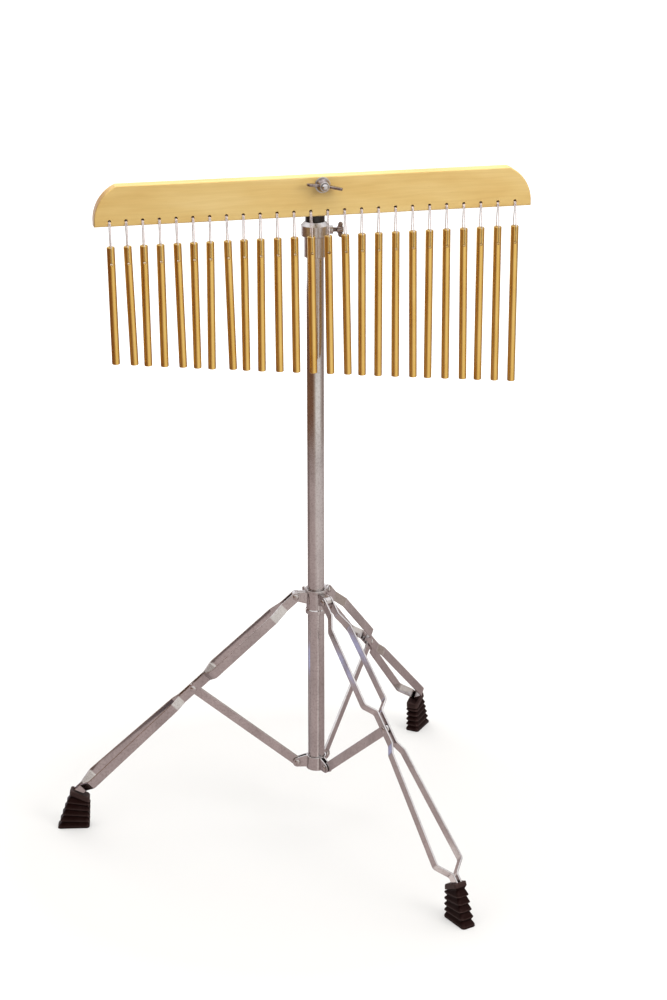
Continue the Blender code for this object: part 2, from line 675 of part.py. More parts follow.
def make_mast(parent):
    hub_bottom = HUB_PIVOT_HEIGHT - HUB_BELOW_PIVOT
    base = tube(BASE_TUBE_RADIUS, BASE_TUBE_WALL, hub_bottom - BASE_TUBE_BELOW_HUB, BASE_TUBE_TOP)
    add_part("base_tube", base, CHROME, parent)
    upper = tube(UPPER_TUBE_RADIUS, UPPER_TUBE_WALL, UPPER_TUBE_TOP - UPPER_TUBE_LENGTH, UPPER_TUBE_TOP)
    add_part("upper_tube", upper, CHROME, parent)

    skirt = CLAMP_BORE - GAP
    flange = skirt + BUSHING_FLANGE_OVERHANG
    inner = UPPER_TUBE_RADIUS + GAP
    low = CLAMP_TOP + GAP
    high = low + BUSHING_FLANGE_HEIGHT
    bushing = [
        (flange - CLAMP_EDGE, high),
        (flange, high - CLAMP_EDGE),
        (flange, low),
        (skirt, low),
        (skirt, BASE_TUBE_TOP + GAP),
        (inner, BASE_TUBE_TOP + GAP),
        (inner, high),
    ]
    add_part("clamp_bushing", turned(bushing, ROUND_STEPS), NYLON, parent)

    sleeve = CLAMP_BORE + CLAMP_SLEEVE_WALL
    ring = CLAMP_BORE + CLAMP_RING_WALL
    body = [
        (CLAMP_BORE + CLAMP_LIP_WALL, CLAMP_TOP),
        (ring - CLAMP_EDGE, CLAMP_RING_TOP),
        (ring, CLAMP_RING_TOP - CLAMP_EDGE),
        (ring, CLAMP_RING_BOTTOM + CLAMP_EDGE),
        (ring - CLAMP_EDGE, CLAMP_RING_BOTTOM),
        (sleeve, CLAMP_RING_BOTTOM),
        (sleeve, CLAMP_RING_BOTTOM - CLAMP_SLEEVE_LENGTH),
        (CLAMP_BORE, CLAMP_RING_BOTTOM - CLAMP_SLEEVE_LENGTH),
        (CLAMP_BORE, CLAMP_TOP),
    ]
    inside = CLAMP_BORE + CLAMP_RING_WALL / 2
    frame = radial(CLAMP_BOLT_AZIMUTH, inside, CLAMP_BOLT_HEIGHT)
    boss = cylinder(BOLT_BOSS_RADIUS, CLAMP_RING_WALL / 2 + BOLT_BOSS_LENGTH, SMALL_STEPS, frame)
    drill_place = radial(CLAMP_BOLT_AZIMUTH, BASE_TUBE_RADIUS, CLAMP_BOLT_HEIGHT)
    drill = cylinder(BOLT_RADIUS + GAP, ring, SMALL_STEPS, drill_place)
    clamp = cut(union(turned(body, ROUND_STEPS), boss), drill)
    add_part("height_clamp", clamp, CHROME, parent)
    add_radial_bolt("clamp_wing_bolt", parent, CLAMP_BOLT_AZIMUTH, CLAMP_BOLT_HEIGHT, ring)


def add_radial_bolt(name, parent, azimuth, height, outside):
    """Wing bolt through a boss, with its tip just off the base tube and its wings upright."""
    tip = BASE_TUBE_RADIUS + 2 * GAP
    bolt = wing_bolt(outside + BOLT_BOSS_LENGTH + BOLT_SHOW - tip)
    frame = radial(azimuth, tip, 0)
    bolt.transform(frame)
    add_part(name, bolt, STEEL, parent, (0, 0, height))


def make_leg_collar(parent):
    """Sleeve that slides on the base tube, with a lug for each leg."""
    low = -COLLAR_BELOW_PIVOT
    high = COLLAR_ABOVE_PIVOT
    wall = COLLAR_BORE + COLLAR_WALL
    flange = COLLAR_BORE + COLLAR_FLANGE_WALL
    bead = COLLAR_BORE + COLLAR_BEAD_WALL
    sleeve = [
        (flange, high),
        (flange, high - COLLAR_FLANGE_HEIGHT),
        (wall, high - COLLAR_FLANGE_HEIGHT),
        (wall, low + COLLAR_BEAD_HEIGHT),
        (bead, low + COLLAR_BEAD_HEIGHT - COLLAR_WALL),
        (bead, low),
        (COLLAR_BORE, low),
        (COLLAR_BORE, high),
    ]
    mesh = turned(sleeve, ROUND_STEPS)
    root = (COLLAR_BORE + COLLAR_WALL, high - COLLAR_FLANGE_HEIGHT - LUG_ROOT_RADIUS)
    outline = capsule(root, LUG_ROOT_RADIUS, (COLLAR_PIVOT_RADIUS, 0), LUG_TIP_RADIUS)
    pin_hole = ring_points((COLLAR_PIVOT_RADIUS, 0), PIN_RADIUS + GAP, SMALL_STEPS)
    lug = plate([outline, pin_hole], 2 * LUG_HALF, upright())
    for azimuth in LEGS.values():
        copy = lug.copy()
        copy.transform(spin(azimuth, "Z"))
        mesh = union(mesh, copy)
    boss_start = COLLAR_BORE + COLLAR_WALL / 2
    boss_length = COLLAR_FLANGE_WALL + BOLT_BOSS_LENGTH - COLLAR_WALL / 2
    boss_place = radial(COLLAR_BOLT_AZIMUTH, boss_start, -COLLAR_BOLT_DROP)
    boss = cylinder(BOLT_BOSS_RADIUS, boss_length, SMALL_STEPS, boss_place)
    bore = cylinder(COLLAR_BORE, 2 * (high - low), ROUND_STEPS, moved(z=2 * low))
    drill_place = radial(COLLAR_BOLT_AZIMUTH, BASE_TUBE_RADIUS, -COLLAR_BOLT_DROP)
    drill = cylinder(BOLT_RADIUS + GAP, flange, SMALL_STEPS, drill_place)
    mesh = cut(union(mesh, boss), bore, drill)
    add_part("leg_collar", mesh, CHROME, parent, (0, 0, COLLAR_PIVOT_HEIGHT))
    add_radial_bolt("collar_wing_bolt", parent, COLLAR_BOLT_AZIMUTH, COLLAR_BOLT_HEIGHT, flange)


def make_lower_hub(parent):
    """Pressed band round the foot of the tube, with a pair of ears for each strut."""
    band = BASE_TUBE_RADIUS + GAP
    mesh = tube(band + HUB_WALL, HUB_WALL, -HUB_BELOW_PIVOT, HUB_ABOVE_PIVOT)
    root = (band + HUB_WALL, -HUB_BELOW_PIVOT + HUB_EAR_ROOT_RADIUS + HUB_WALL)
    outline = capsule(root, HUB_EAR_ROOT_RADIUS, (HUB_PIVOT_RADIUS, 0), HUB_EAR_TIP_RADIUS)
    loops = [outline, ring_points((HUB_PIVOT_RADIUS, 0), PIN_RADIUS + GAP, SMALL_STEPS)]
    for azimuth in LEGS.values():
        for side in (1, -1):
            offset = side * (EAR_HALF + HUB_EAR_THICKNESS / 2)
            ear = plate(loops, HUB_EAR_THICKNESS, spin(azimuth, "Z") @ moved(y=offset) @ upright())
            mesh = union(mesh, ear)
    bore = cylinder(band, 4 * HUB_BELOW_PIVOT, ROUND_STEPS, moved(z=-2 * HUB_BELOW_PIVOT))
    add_part("lower_hub", cut(mesh, bore), CHROME, parent, (0, 0, HUB_PIVOT_HEIGHT))


def pin(half_grip):
    """Rivet along Y through pieces this far out on either side."""
    seat = half_grip + GAP
    head = seat + PIN_HEAD_HEIGHT
    side = [
        (PIN_HEAD_RADIUS * 0.6, head),
        (PIN_HEAD_RADIUS, seat + PIN_HEAD_HEIGHT * 0.4),
        (PIN_HEAD_RADIUS, seat),
        (PIN_RADIUS, seat),
    ]
    profile = [(0, head)] + side + [(radius, -z) for radius, z in reversed(side)] + [(0, -head)]
    return turned(profile, SMALL_STEPS, lathe_to_y())


def strip_path():
    """Centre line of a leg strip: along the leg, and out from the leg's middle plane."""
    before_rivet = LEG_TO_RIVET - RIVET_STRAIGHT
    after_rivet = LEG_TO_RIVET + RIVET_STRAIGHT_AFTER
    tongue = LEG_TO_FOOT - TONGUE_SHOW
    return [
        (-BAR_WIDTH / 2, STRIP_COLLAR_HALF),
        (UPPER_SPREAD_START, STRIP_COLLAR_HALF),
        (UPPER_SPREAD_FULL, UPPER_SPREAD_HALF),
        (before_rivet - BEND_RUN, UPPER_SPREAD_END_HALF),
        (before_rivet, STRIP_CLOSE_HALF),
        (after_rivet, STRIP_CLOSE_HALF),
        (after_rivet + BEND_RUN, LOWER_SPREAD_HALF),
        (tongue - FOOT_BEND_RUN, LOWER_SPREAD_END_HALF),
        (tongue, TONGUE_HALF),
        (LEG_TO_FOOT + TONGUE_DEPTH, TONGUE_HALF),
    ]


def round_strip_end(mesh):
    """Rounds the upper end of the bar about the collar pin."""
    shape = bmesh.new()
    shape.from_mesh(mesh)
    end = -BAR_WIDTH / 2
    edges = []
    for edge in shape.edges:
        first, second = (vert.co for vert in edge.verts)
        at_end = max(abs(first.x - end), abs(second.x - end)) < WELD
        if at_end and abs(first.z - second.z) < WELD:
            edges.append(edge)
    bmesh.ops.bevel(shape, geom=edges, offset=STRIP_END_ROUND, segments=3, profile=0.5, affect="EDGES")
    shape.to_mesh(mesh)
    shape.free()
    return mesh


def leg_strip(side):
    path = [(along, side * out) for along, out in strip_path()]
    mesh = round_strip_end(plate([ribbon(path, STRIP_THICKNESS)], BAR_WIDTH))
    reach = side * (STRIP_COLLAR_HALF + STRIP_THICKNESS)
    outside = moved(y=2 * reach if side > 0 else 0) @ lathe_to_y()
    hole = cylinder(PIN_RADIUS + GAP, 2 * abs(reach), SMALL_STEPS, outside)
    face = STRIP_CLOSE_HALF + STRIP_THICKNESS / 2
    dome = [
        (0, PIN_HEAD_HEIGHT),
        (PIN_HEAD_RADIUS * 0.6, PIN_HEAD_HEIGHT),
        (PIN_HEAD_RADIUS, PIN_HEAD_HEIGHT * 0.4),
        (PIN_HEAD_RADIUS, -STRIP_THICKNESS / 2),
        (0, -STRIP_THICKNESS / 2),
    ]
    head = turned(dome, SMALL_STEPS, moved(LEG_TO_RIVET, side * face) @ spin(-side * math.pi / 2, "X"))
    return union(cut(mesh, hole), head)


def foot_section(height, half_length, half_width, middle, tilt):
    """One rounded rectangle of the foot, tilted about the tangent."""
    corner = min(FOOT_CORNER, half_length, half_width)
    points = []
    for quarter, (sx, sy) in enumerate(((1, 1), (-1, 1), (-1, -1), (1, -1))):
        centre = (sx * (half_length - corner), sy * (half_width - corner))
        points += arc(centre, corner, quarter * math.pi / 2, (quarter + 1) * math.pi / 2, 2)
    lean = spin(-tilt, "Y")
    return [moved(middle, 0, height) @ lean @ Vector((x, y, 0)) for x, y in points]


def foot_sections():
    """Sole, saw-tooth ribs and the smooth collar on top, from the floor up."""
    collar = FOOT_FIRST_RIB + FOOT_RIB_PITCH * (FOOT_RIBS - 1) + FOOT_RIB_FALL

    def section(height, inset, tilt):
        share = height / FOOT_HEIGHT
        half_length = FOOT_SOLE_HALF + (FOOT_TOP_HALF - FOOT_SOLE_HALF) * share - inset
        half_width = FOOT_SOLE_HALF_WIDTH + (FOOT_TOP_HALF_WIDTH - FOOT_SOLE_HALF_WIDTH) * share - inset
        return foot_section(height, half_length, half_width, FOOT_LEAN * (1 - share) - FOOT_INSET, tilt)

    found = [section(0, FOOT_SOLE_EDGE, 0)]
    for rib in range(FOOT_RIBS):
        crest = FOOT_FIRST_RIB + FOOT_RIB_PITCH * rib
        tilt = FOOT_TOP_TILT * crest / FOOT_HEIGHT if rib else 0
        found.append(section(crest, 0, tilt / 2))
        found.append(section(crest + FOOT_RIB_FALL, FOOT_RIB_DEPTH, tilt))
    found.append(section(collar + FOOT_RIB_DEPTH, 0, FOOT_TOP_TILT))
    found.append(section(FOOT_HEIGHT - FOOT_SOLE_EDGE, 0, FOOT_TOP_TILT))
    found.append(section(FOOT_HEIGHT, FOOT_SOLE_EDGE, FOOT_TOP_TILT))
    return found


def loft(sections):
    shape = bmesh.new()
    rings = [[shape.verts.new(point) for point in section] for section in sections]
    for below, above in zip(rings, rings[1:]):
        for i in range(len(below)):
            j = (i + 1) % len(below)
            shape.faces.new((below[i], below[j], above[j], above[i]))
    shape.faces.new(reversed(rings[0]))
    shape.faces.new(rings[-1])
    bmesh.ops.recalc_face_normals(shape, faces=shape.faces)
    mesh = bpy.data.meshes.new("loft")
    shape.to_mesh(mesh)
    shape.free()
    return mesh


def foot_mesh():
    """Foot with a pocket for the two strip ends. Its origin is where the leg's axis meets the top."""
    outside = TONGUE_HALF + STRIP_THICKNESS / 2 + GAP
    half_bar = BAR_WIDTH / 2 + GAP
    slope = moved(z=FOOT_HEIGHT) @ spin(LEG_FALL, "Y")
    pocket = box((-FOOT_HEIGHT, -outside, -half_bar), (TONGUE_DEPTH + GAP, outside, half_bar), slope)
    mesh = cut(loft(foot_sections()), pocket)
    mesh.transform(moved(z=-FOOT_HEIGHT))
    return mesh


def make_leg(name, azimuth, parent):
    outward = Vector((math.cos(azimuth), math.sin(azimuth), 0))
    pivot_place = COLLAR_PIVOT_RADIUS * outward + Vector((0, 0, COLLAR_PIVOT_HEIGHT))
    pivot = add_empty(f"{name}_leg_pivot", parent, pivot_place, (0, 0, azimuth))
    for number, side in ((1, 1), (2, -1)):
        add_part(f"{name}_leg_strip_{number}", leg_strip(side), CHROME, pivot, rotation=(0, LEG_FALL, 0))
    grip = STRIP_COLLAR_HALF + STRIP_THICKNESS / 2
    add_part(f"{name}_leg_pin", pin(grip), STEEL, pivot)
    top = (LEG_TO_FOOT * math.cos(LEG_FALL), 0, -LEG_TO_FOOT * math.sin(LEG_FALL))
    add_part(f"{name}_foot", foot_mesh(), RUBBER, pivot, top)

    hub_place = HUB_PIVOT_RADIUS * outward + Vector((0, 0, HUB_PIVOT_HEIGHT))
    hub = add_empty(f"{name}_strut_pivot", parent, hub_place, (0, 0, azimuth))
    half = BAR_WIDTH / 2
    pin_hole = ring_points((0, 0), PIN_RADIUS + GAP, SMALL_STEPS)
    loops = [capsule((0, 0), half, (STRUT_LENGTH, 0), half, 6, 6), pin_hole]
    strut = plate(loops, STRUT_THICKNESS, upright())
    add_part(f"{name}_strut", strut, CHROME, hub, rotation=(0, -STRUT_RISE, 0))
    add_part(f"{name}_strut_pin", pin(EAR_HALF + HUB_EAR_THICKNESS), STEEL, hub)


def stand_on_origin(root):
    """Moves the whole object so that the origin is under the middle of its box."""
    bpy.context.view_layer.update()
    corners = []
    for obj in parts.objects:
        if obj.type == "MESH":
            corners += [obj.matrix_world @ vert.co for vert in obj.data.vertices]
    low = [min(corner[axis] for corner in corners) for axis in range(3)]
    high = [max(corner[axis] for corner in corners) for axis in range(3)]
    root.location = (-(low[0] + high[0]) / 2, -(low[1] + high[1]) / 2, -low[2])


def main():
    root = add_empty("stand_axis")
    make_mast(root)
    make_leg_collar(root)
    make_lower_hub(root)
    for name, azimuth in LEGS.items():
        make_leg(name, azimuth, root)
    make_tilter(root)
    make_washers(root)
    make_mantle(root)
    make_wing_nut(root)
    make_chimes(root)
    stand_on_origin(root)


main()
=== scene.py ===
import math

import bmesh
import bpy
from mathutils import Matrix, Vector


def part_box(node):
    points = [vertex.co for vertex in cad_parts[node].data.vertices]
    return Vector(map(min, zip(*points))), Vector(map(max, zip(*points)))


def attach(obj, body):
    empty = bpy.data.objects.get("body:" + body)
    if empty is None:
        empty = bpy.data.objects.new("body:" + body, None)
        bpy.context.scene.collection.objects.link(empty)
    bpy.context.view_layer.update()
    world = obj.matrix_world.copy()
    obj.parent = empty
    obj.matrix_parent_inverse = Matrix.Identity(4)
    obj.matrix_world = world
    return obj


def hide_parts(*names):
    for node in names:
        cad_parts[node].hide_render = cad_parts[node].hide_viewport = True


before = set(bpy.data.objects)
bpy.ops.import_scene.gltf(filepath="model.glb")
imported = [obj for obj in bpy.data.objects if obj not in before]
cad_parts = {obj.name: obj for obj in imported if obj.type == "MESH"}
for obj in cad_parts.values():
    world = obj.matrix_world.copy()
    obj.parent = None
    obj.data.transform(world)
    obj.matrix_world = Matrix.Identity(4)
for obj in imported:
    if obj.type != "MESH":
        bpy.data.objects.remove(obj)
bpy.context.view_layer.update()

mm = 0.001
gap = 0.3 * mm  # air left between pieces that touch
weld = 0.002 * mm  # corners nearer than this are one
tubeLow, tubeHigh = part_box("base_tube")
standAxis = Matrix.Translation(((tubeLow.x + tubeHigh.x) / 2, (tubeLow.y + tubeHigh.y) / 2, 0))


def lengths(**sizes):  # a dictionary of sizes given in mm
    return {key: size * mm for key, size in sizes.items()}


# places and outlines

def shift(x=0, y=0, z=0):
    return Matrix.Translation((x, y, z))


def turn(degrees, axis):
    return Matrix.Rotation(math.radians(degrees), 4, axis)


def arc(centre, radius, start, end, steps):
    angles = [math.radians(start + (end - start) * i / steps) for i in range(steps + 1)]
    return [(centre[0] + radius * math.cos(a), centre[1] + radius * math.sin(a)) for a in angles]


def circle(centre, radius):
    return arc(centre, radius, 0, 360, 32)[:-1]


def pill(start, startRadius, end, endRadius, steps=24):  # outline round two circles
    run = Vector(end) - Vector(start)
    heading = math.degrees(math.atan2(run.y, run.x))
    touch = math.degrees(math.acos((startRadius - endRadius) / run.length))
    far = arc(end, endRadius, heading - touch, heading + touch, steps)
    near = arc(start, startRadius, heading + touch, heading + 360 - touch, steps)
    return far + near


def roundedBox(halfWide, halfHigh, corner, steps):
    spots = []
    for quarter, (sx, sy) in enumerate(((1, 1), (-1, 1), (-1, -1), (1, -1))):
        centre = (sx * (halfWide - corner), sy * (halfHigh - corner))
        spots += arc(centre, corner, quarter * 90, quarter * 90 + 90, steps)
    return spots


def eased(points, radius, closed=False, steps=4):  # rounds the corners of an outline or a bent line
    straight = math.radians(87)  # a corner whose half angle is wider stays
    share = 0.45  # most of a side that one corner takes
    made = []
    for i, here in enumerate(points):
        corner = Vector(here)
        if not closed and i in (0, len(points) - 1):
            made.append(tuple(corner))
            continue
        back = Vector(points[i - 1]) - corner
        ahead = Vector(points[(i + 1) % len(points)]) - corner
        half = back.angle(ahead) / 2
        if half > straight:
            made.append(tuple(corner))
            continue
        reach = min(radius / math.tan(half), back.length * share, ahead.length * share)
        first = corner + back.normalized() * reach
        last = corner + ahead.normalized() * reach
        for k in range(steps + 1):
            t = k / steps
            made.append(tuple(first.lerp(corner, t).lerp(corner.lerp(last, t), t)))
    return made


def smoothLine(points):  # a smooth line through the points
    each = 5  # spots from one point to the next
    spots = [Vector(p) for p in points]
    spots = [2 * spots[0] - spots[1]] + spots + [2 * spots[-1] - spots[-2]]
    made = []
    for a, b, c, d in zip(spots, spots[1:], spots[2:], spots[3:]):
        square = 2 * a - 5 * b + 4 * c - d
        cube = 3 * b - a - 3 * c + d
        for k in range(each):
            t = k / each
            made.append(0.5 * (2 * b + (c - a) * t + square * t * t + cube * t ** 3))
    return made + [spots[-2]]


# meshes

def newObject(name, data):
    obj = bpy.data.objects.new(name, data)
    bpy.context.scene.collection.objects.link(obj)
    return obj


def meshOf(shape, place=None):
    bmesh.ops.recalc_face_normals(shape, faces=shape.faces)
    if place is not None:
        shape.transform(place)
    mesh = bpy.data.meshes.new("shape")
    shape.to_mesh(mesh)
    shape.free()
    return mesh


def lathe(profile, steps, place=None):  # (radius, height) turned about Z; off the axis it closes to a ring
    shape = bmesh.new()
    angles = [2 * math.pi * i / steps for i in range(steps)]
    rings = []
    for radius, height in profile:
        if radius < 1e-7:
            rings.append([shape.verts.new((0, 0, height))])
        else:
            rings.append([shape.verts.new((radius * math.cos(a), radius * math.sin(a), height)) for a in angles])
    pairs = list(zip(rings, rings[1:]))
    if len(rings[0]) > 1:
        pairs.append((rings[-1], rings[0]))
    for low, high in pairs:
        for i in range(steps):
            j = (i + 1) % steps
            corners = [low[i % len(low)], low[j % len(low)], high[j % len(high)], high[i % len(high)]]
            corners = list(dict.fromkeys(corners))
            if len(corners) > 2:
                shape.faces.new(corners)
    return meshOf(shape, place)


def cylinder(radius, low, high, steps, place=None):
    return lathe([(0, low), (radius, low), (radius, high), (0, high)], steps, place)


def sleeve(outer, inner, low, high, edge, steps):  # a plain ring with rounded edges
    outline = [(outer, high), (outer, low), (inner, low), (inner, high)]
    return lathe(eased(outline, edge, True, 3), steps)


def block(size, place):
    shape = bmesh.new()
    bmesh.ops.create_cube(shape, size=1)
    return meshOf(shape, place @ Matrix.Diagonal((*size, 1)))


def loft(rows):  # skin over rows of points, closed at both ends
    shape = bmesh.new()
    rings = [[shape.verts.new(spot) for spot in row] for row in rows]
    for low, high in zip(rings, rings[1:]):
        for i in range(len(low)):
            j = (i + 1) % len(low)
            shape.faces.new((low[i], low[j], high[j], high[i]))
    shape.faces.new(rings[0])
    shape.faces.new(rings[-1])
    return meshOf(shape)


def baked(objects, place=None):  # clean mesh of the first object, with its modifiers applied
    graph = bpy.context.evaluated_depsgraph_get()
    mesh = bpy.data.meshes.new_from_object(objects[0].evaluated_get(graph))
    for obj in objects:
        bpy.data.objects.remove(obj)
    shape = bmesh.new()
    shape.from_mesh(mesh)
    bmesh.ops.remove_doubles(shape, verts=shape.verts, dist=weld)
    bmesh.ops.dissolve_degenerate(shape, dist=weld, edges=shape.edges)
    return meshOf(shape, place)


def addLoop(curve, points, closed):
    spline = curve.splines.new("POLY")
    spline.points.add(len(points) - 1)
    for spot, point in zip(spline.points, points):
        spot.co = (*point, *(0,) * (3 - len(point)), 1)
    spline.use_cyclic_u = closed


def slab(loops, thickness, edge, place=None, rounds=2):  # plate with rounded edges, holes as further loops
    curve = bpy.data.curves.new("slab", "CURVE")
    curve.dimensions = "2D"
    curve.fill_mode = "BOTH"
    curve.extrude = thickness / 2 - edge
    curve.bevel_depth = edge
    curve.bevel_resolution = rounds
    curve.offset = -edge
    for loop in loops:
        addLoop(curve, loop, True)
    return baked([newObject("slab", curve)], place)


def strand(points, radius):  # round cord along the points
    curve = bpy.data.curves.new("strand", "CURVE")
    curve.dimensions = "3D"
    curve.bevel_depth = radius
    curve.bevel_resolution = 2
    curve.use_fill_caps = True
    addLoop(curve, points, False)
    return baked([newObject("strand", curve)])


def together(meshes):
    shape = bmesh.new()
    for mesh in meshes:
        shape.from_mesh(mesh)
    return meshOf(shape)


def combined(how, *meshes):
    objects = [newObject("solid", mesh) for mesh in meshes]
    for tool in objects[1:]:
        step = objects[0].modifiers.new("combine", "BOOLEAN")
        step.operation = how
        step.solver = "EXACT"
        step.object = tool
    bpy.context.view_layer.update()
    return baked(objects)


def union(base, *others):
    return combined("UNION", base, *others)


def cutBy(base, *others):
    return combined("DIFFERENCE", base, *others)


def softened(mesh, width):  # takes the sharp edges off
    shape = bmesh.new()
    shape.from_mesh(mesh)
    sharp = [e for e in shape.edges if e.is_manifold and e.calc_face_angle() > math.radians(40)]
    bmesh.ops.bevel(shape, geom=sharp, offset=width, segments=2, profile=0.5, affect="EDGES", clamp_overlap=True)
    return meshOf(shape)


def addPiece(name, mesh, look, body, nodes=(), place=None, sharp=38):
    mesh.transform(standAxis @ (place or Matrix()))
    mesh.name = name
    mesh.materials.clear()
    mesh.materials.append(look)
    mesh.shade_smooth()
    mesh.set_sharp_from_angle(angle=math.radians(sharp))
    piece = newObject(name, mesh)
    even = piece.modifiers.new("evenShade", "WEIGHTED_NORMAL")  # keeps flat faces flat next to rounded edges
    even.keep_sharp = True
    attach(piece, body)
    if nodes:
        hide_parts(*nodes)
    return piece


# material helpers

white, black = (1, 1, 1), (0, 0, 0)
evenly = (1, 1, 1)  # noise that isn't stretched


def newLook(name):
    look = bpy.data.materials.new(name)
    look.use_nodes = True
    tree = look.node_tree
    return look, tree, tree.nodes["Principled BSDF"]


def put(tree, kind, wires=None, **settings):
    made = tree.nodes.new("ShaderNode" + kind)
    for key, value in settings.items():
        setattr(made, key, value)
    for key, value in (wires or {}).items():
        if isinstance(value, bpy.types.NodeSocket):
            tree.links.new(value, made.inputs[key])
        else:
            made.inputs[key].default_value = value
    return made


def ownPlace(tree):
    return put(tree, "TexCoord").outputs["Object"]


def stretched(tree, scale):
    return put(tree, "Mapping", {"Vector": ownPlace(tree), "Scale": scale}).outputs["Vector"]


def cloudy(tree, stretch, size, detail, rough=0.55):
    wires = {"Vector": stretched(tree, stretch), "Scale": size, "Detail": detail, "Roughness": rough}
    return put(tree, "TexNoise", wires).outputs["Fac"]


def bands(tree, direction, stretch, size, wander, detail, detailSize=1):
    wires = {"Vector": stretched(tree, stretch), "Scale": size, "Distortion": wander, "Detail": detail}
    wires["Detail Scale"] = detailSize
    return put(tree, "TexWave", wires, wave_type="BANDS", bands_direction=direction).outputs["Fac"]


def mapped(tree, value, start, end, low=0, high=1):  # start..end to low..high
    wires = {"Value": value, "From Min": start, "From Max": end, "To Min": low, "To Max": high}
    return put(tree, "MapRange", wires).outputs["Result"]


def ramp(tree, value, stops):
    made = put(tree, "ValToRGB", {"Fac": value})
    band = made.color_ramp
    while len(band.elements) < len(stops):
        band.elements.new(0.5)
    for element, (at, colour) in zip(band.elements, stops):
        element.position = at
        element.color = (*colour, 1)
    return made.outputs["Color"]


def blendOf(tree, factor, first, second, how="MIX"):
    if not isinstance(second, bpy.types.NodeSocket):
        second = (*second, 1)
    wires = {0: factor, 6: first, 7: second}  # by number, because the colour sockets share their names
    return put(tree, "Mix", wires, data_type="RGBA", blend_type=how).outputs[2]


def makeFinish(name, finish):  # a tone, tints over it, roughness and a fine bump, all from the finish's sources
    look, tree, shader = newLook(name)
    found = {}
    for key, spec in finish["sources"].items():
        if callable(spec):
            found[key] = spec(tree)
        else:
            found[key] = (bands if isinstance(spec[0], str) else cloudy)(tree, *spec)

    def toneOf(spec):  # a ramp over a source, or a plain colour
        return ramp(tree, found[spec[0]], spec[1:]) if isinstance(spec[0], str) else spec

    tone = toneOf(finish["tone"])
    for how, share, spec in finish["tints"]:
        tone = blendOf(tree, found.get(share, share), tone, toneOf(spec), how)
    source, low, high = finish["rough"]
    rough = mapped(tree, found[source], 0, 1, low, high)
    source, strength, depth = finish["bump"]
    bump = put(tree, "Bump", {"Height": found[source], "Strength": strength, "Distance": depth}).outputs["Normal"]
    for key, socket in (("Base Color", tone), ("Roughness", rough), ("Normal", bump)):
        tree.links.new(socket, shader.inputs[key])
    for key, value in finish.get("shader", {}).items():
        shader.inputs[key].default_value = value
    return look


# finishes; a source is noise (stretch, size, detail, roughness), bands that start with a direction, or a function

def boardEnds(tree):  # 1 on the ends of the board, where its tone is darkened
    facing = put(tree, "SeparateXYZ", {0: put(tree, "TexCoord").outputs["Normal"]}).outputs["X"]
    return mapped(tree, put(tree, "Math", {0: facing}, operation="ABSOLUTE").outputs[0], 0.35, 0.9)


maple = makeFinish("mapleLacquer", {
    "sources": {
        "broad": ((0.25, 1, 1), 26, 3), "rings": ("Z", (0.16, 1, 1), 34, 9, 3, 0.9), "fibre": ((0.03, 1, 1), 1500, 2),
        "flecks": ((0.12, 1, 1), 420, 2, 0.7), "ends": boardEnds,
    },
    "tone": ("broad", (0.28, (0.68, 0.434, 0.131)), (0.5, (0.755, 0.526, 0.188)), (0.74, (0.82, 0.608, 0.257))),
    "tints": [
        ("MULTIPLY", 0.5, ("rings", (0.1, (0.93, 0.9, 0.84)), (0.55, white), (1, (0.97, 0.955, 0.92)))),
        ("MULTIPLY", 0.35, ("fibre", (0.3, (0.9, 0.87, 0.8)), (0.62, white))),
        ("MULTIPLY", 0.5, ("flecks", (0.22, (0.8, 0.7, 0.55)), (0.32, white))),
        ("MULTIPLY", 1, ("ends", (0, white), (1, (0.6, 0.46, 0.32)))),
    ],
    "rough": ("flecks", 0.36, 0.5), "bump": ("fibre", 0.12, 0.0002),
    "shader": {"Coat Weight": 0.18, "Coat Roughness": 0.28},
})
gold = makeFinish("goldAnodised", {
    "sources": {
        "cloud": ((1, 1, 0.3), 45, 3), "lines": ((1, 1, 0.02), 1800, 2, 0.7), "specks": (evenly, 900, 2, 0.6),
    },
    "tone": ("cloud", (0.3, (0.76, 0.475, 0.125)), (0.68, (0.86, 0.6, 0.2))),
    "tints": [
        ("MULTIPLY", 0.6, ("lines", (0.25, (0.88, 0.86, 0.82)), (0.6, white))),
        ("MULTIPLY", 0.6, ("specks", (0.2, (0.62, 0.5, 0.36)), (0.27, white))),
    ],
    "rough": ("cloud", 0.22, 0.34), "bump": ("lines", 0.03, 0.0001), "shader": {"Metallic": 1},
})


def makeChrome(name, run, dull, bright):  # stretch of the scratches, and the range of roughness
    return makeFinish(name, {
        "sources": {
            "smudge": ((1, 1, 0.6), 30, 5, 0.6), "scratch": (run, 1400, 3, 0.75), "pits": (evenly, 700, 2, 0.5),
            "patina": (evenly, 340, 3, 0.6),  # fine mottling of old plate
        },
        "tone": ("smudge", (0.3, (0.49, 0.465, 0.465)), (0.65, (0.62, 0.595, 0.595))),
        "tints": [
            ("MULTIPLY", 0.5, ("scratch", (0.27, (0.8, 0.77, 0.75)), (0.45, white))),
            ("MULTIPLY", 0.7, ("pits", (0.2, (0.55, 0.46, 0.4)), (0.26, white))),
            ("MULTIPLY", 0.75, ("patina", (0.3, (0.8, 0.78, 0.77)), (0.5, white), (0.72, (1.06, 1.07, 1.06)))),
        ],
        "rough": ("smudge", dull, bright), "bump": ("scratch", 0.06, 0.0001), "shader": {"Metallic": 1},
    })


chrome = makeChrome("chromePlate", (1, 1, 0.05), 0.18, 0.08)
barChrome = makeChrome("barChrome", evenly, 0.18, 0.08)
satinChrome = makeChrome("satinChrome", evenly, 0.4, 0.27)


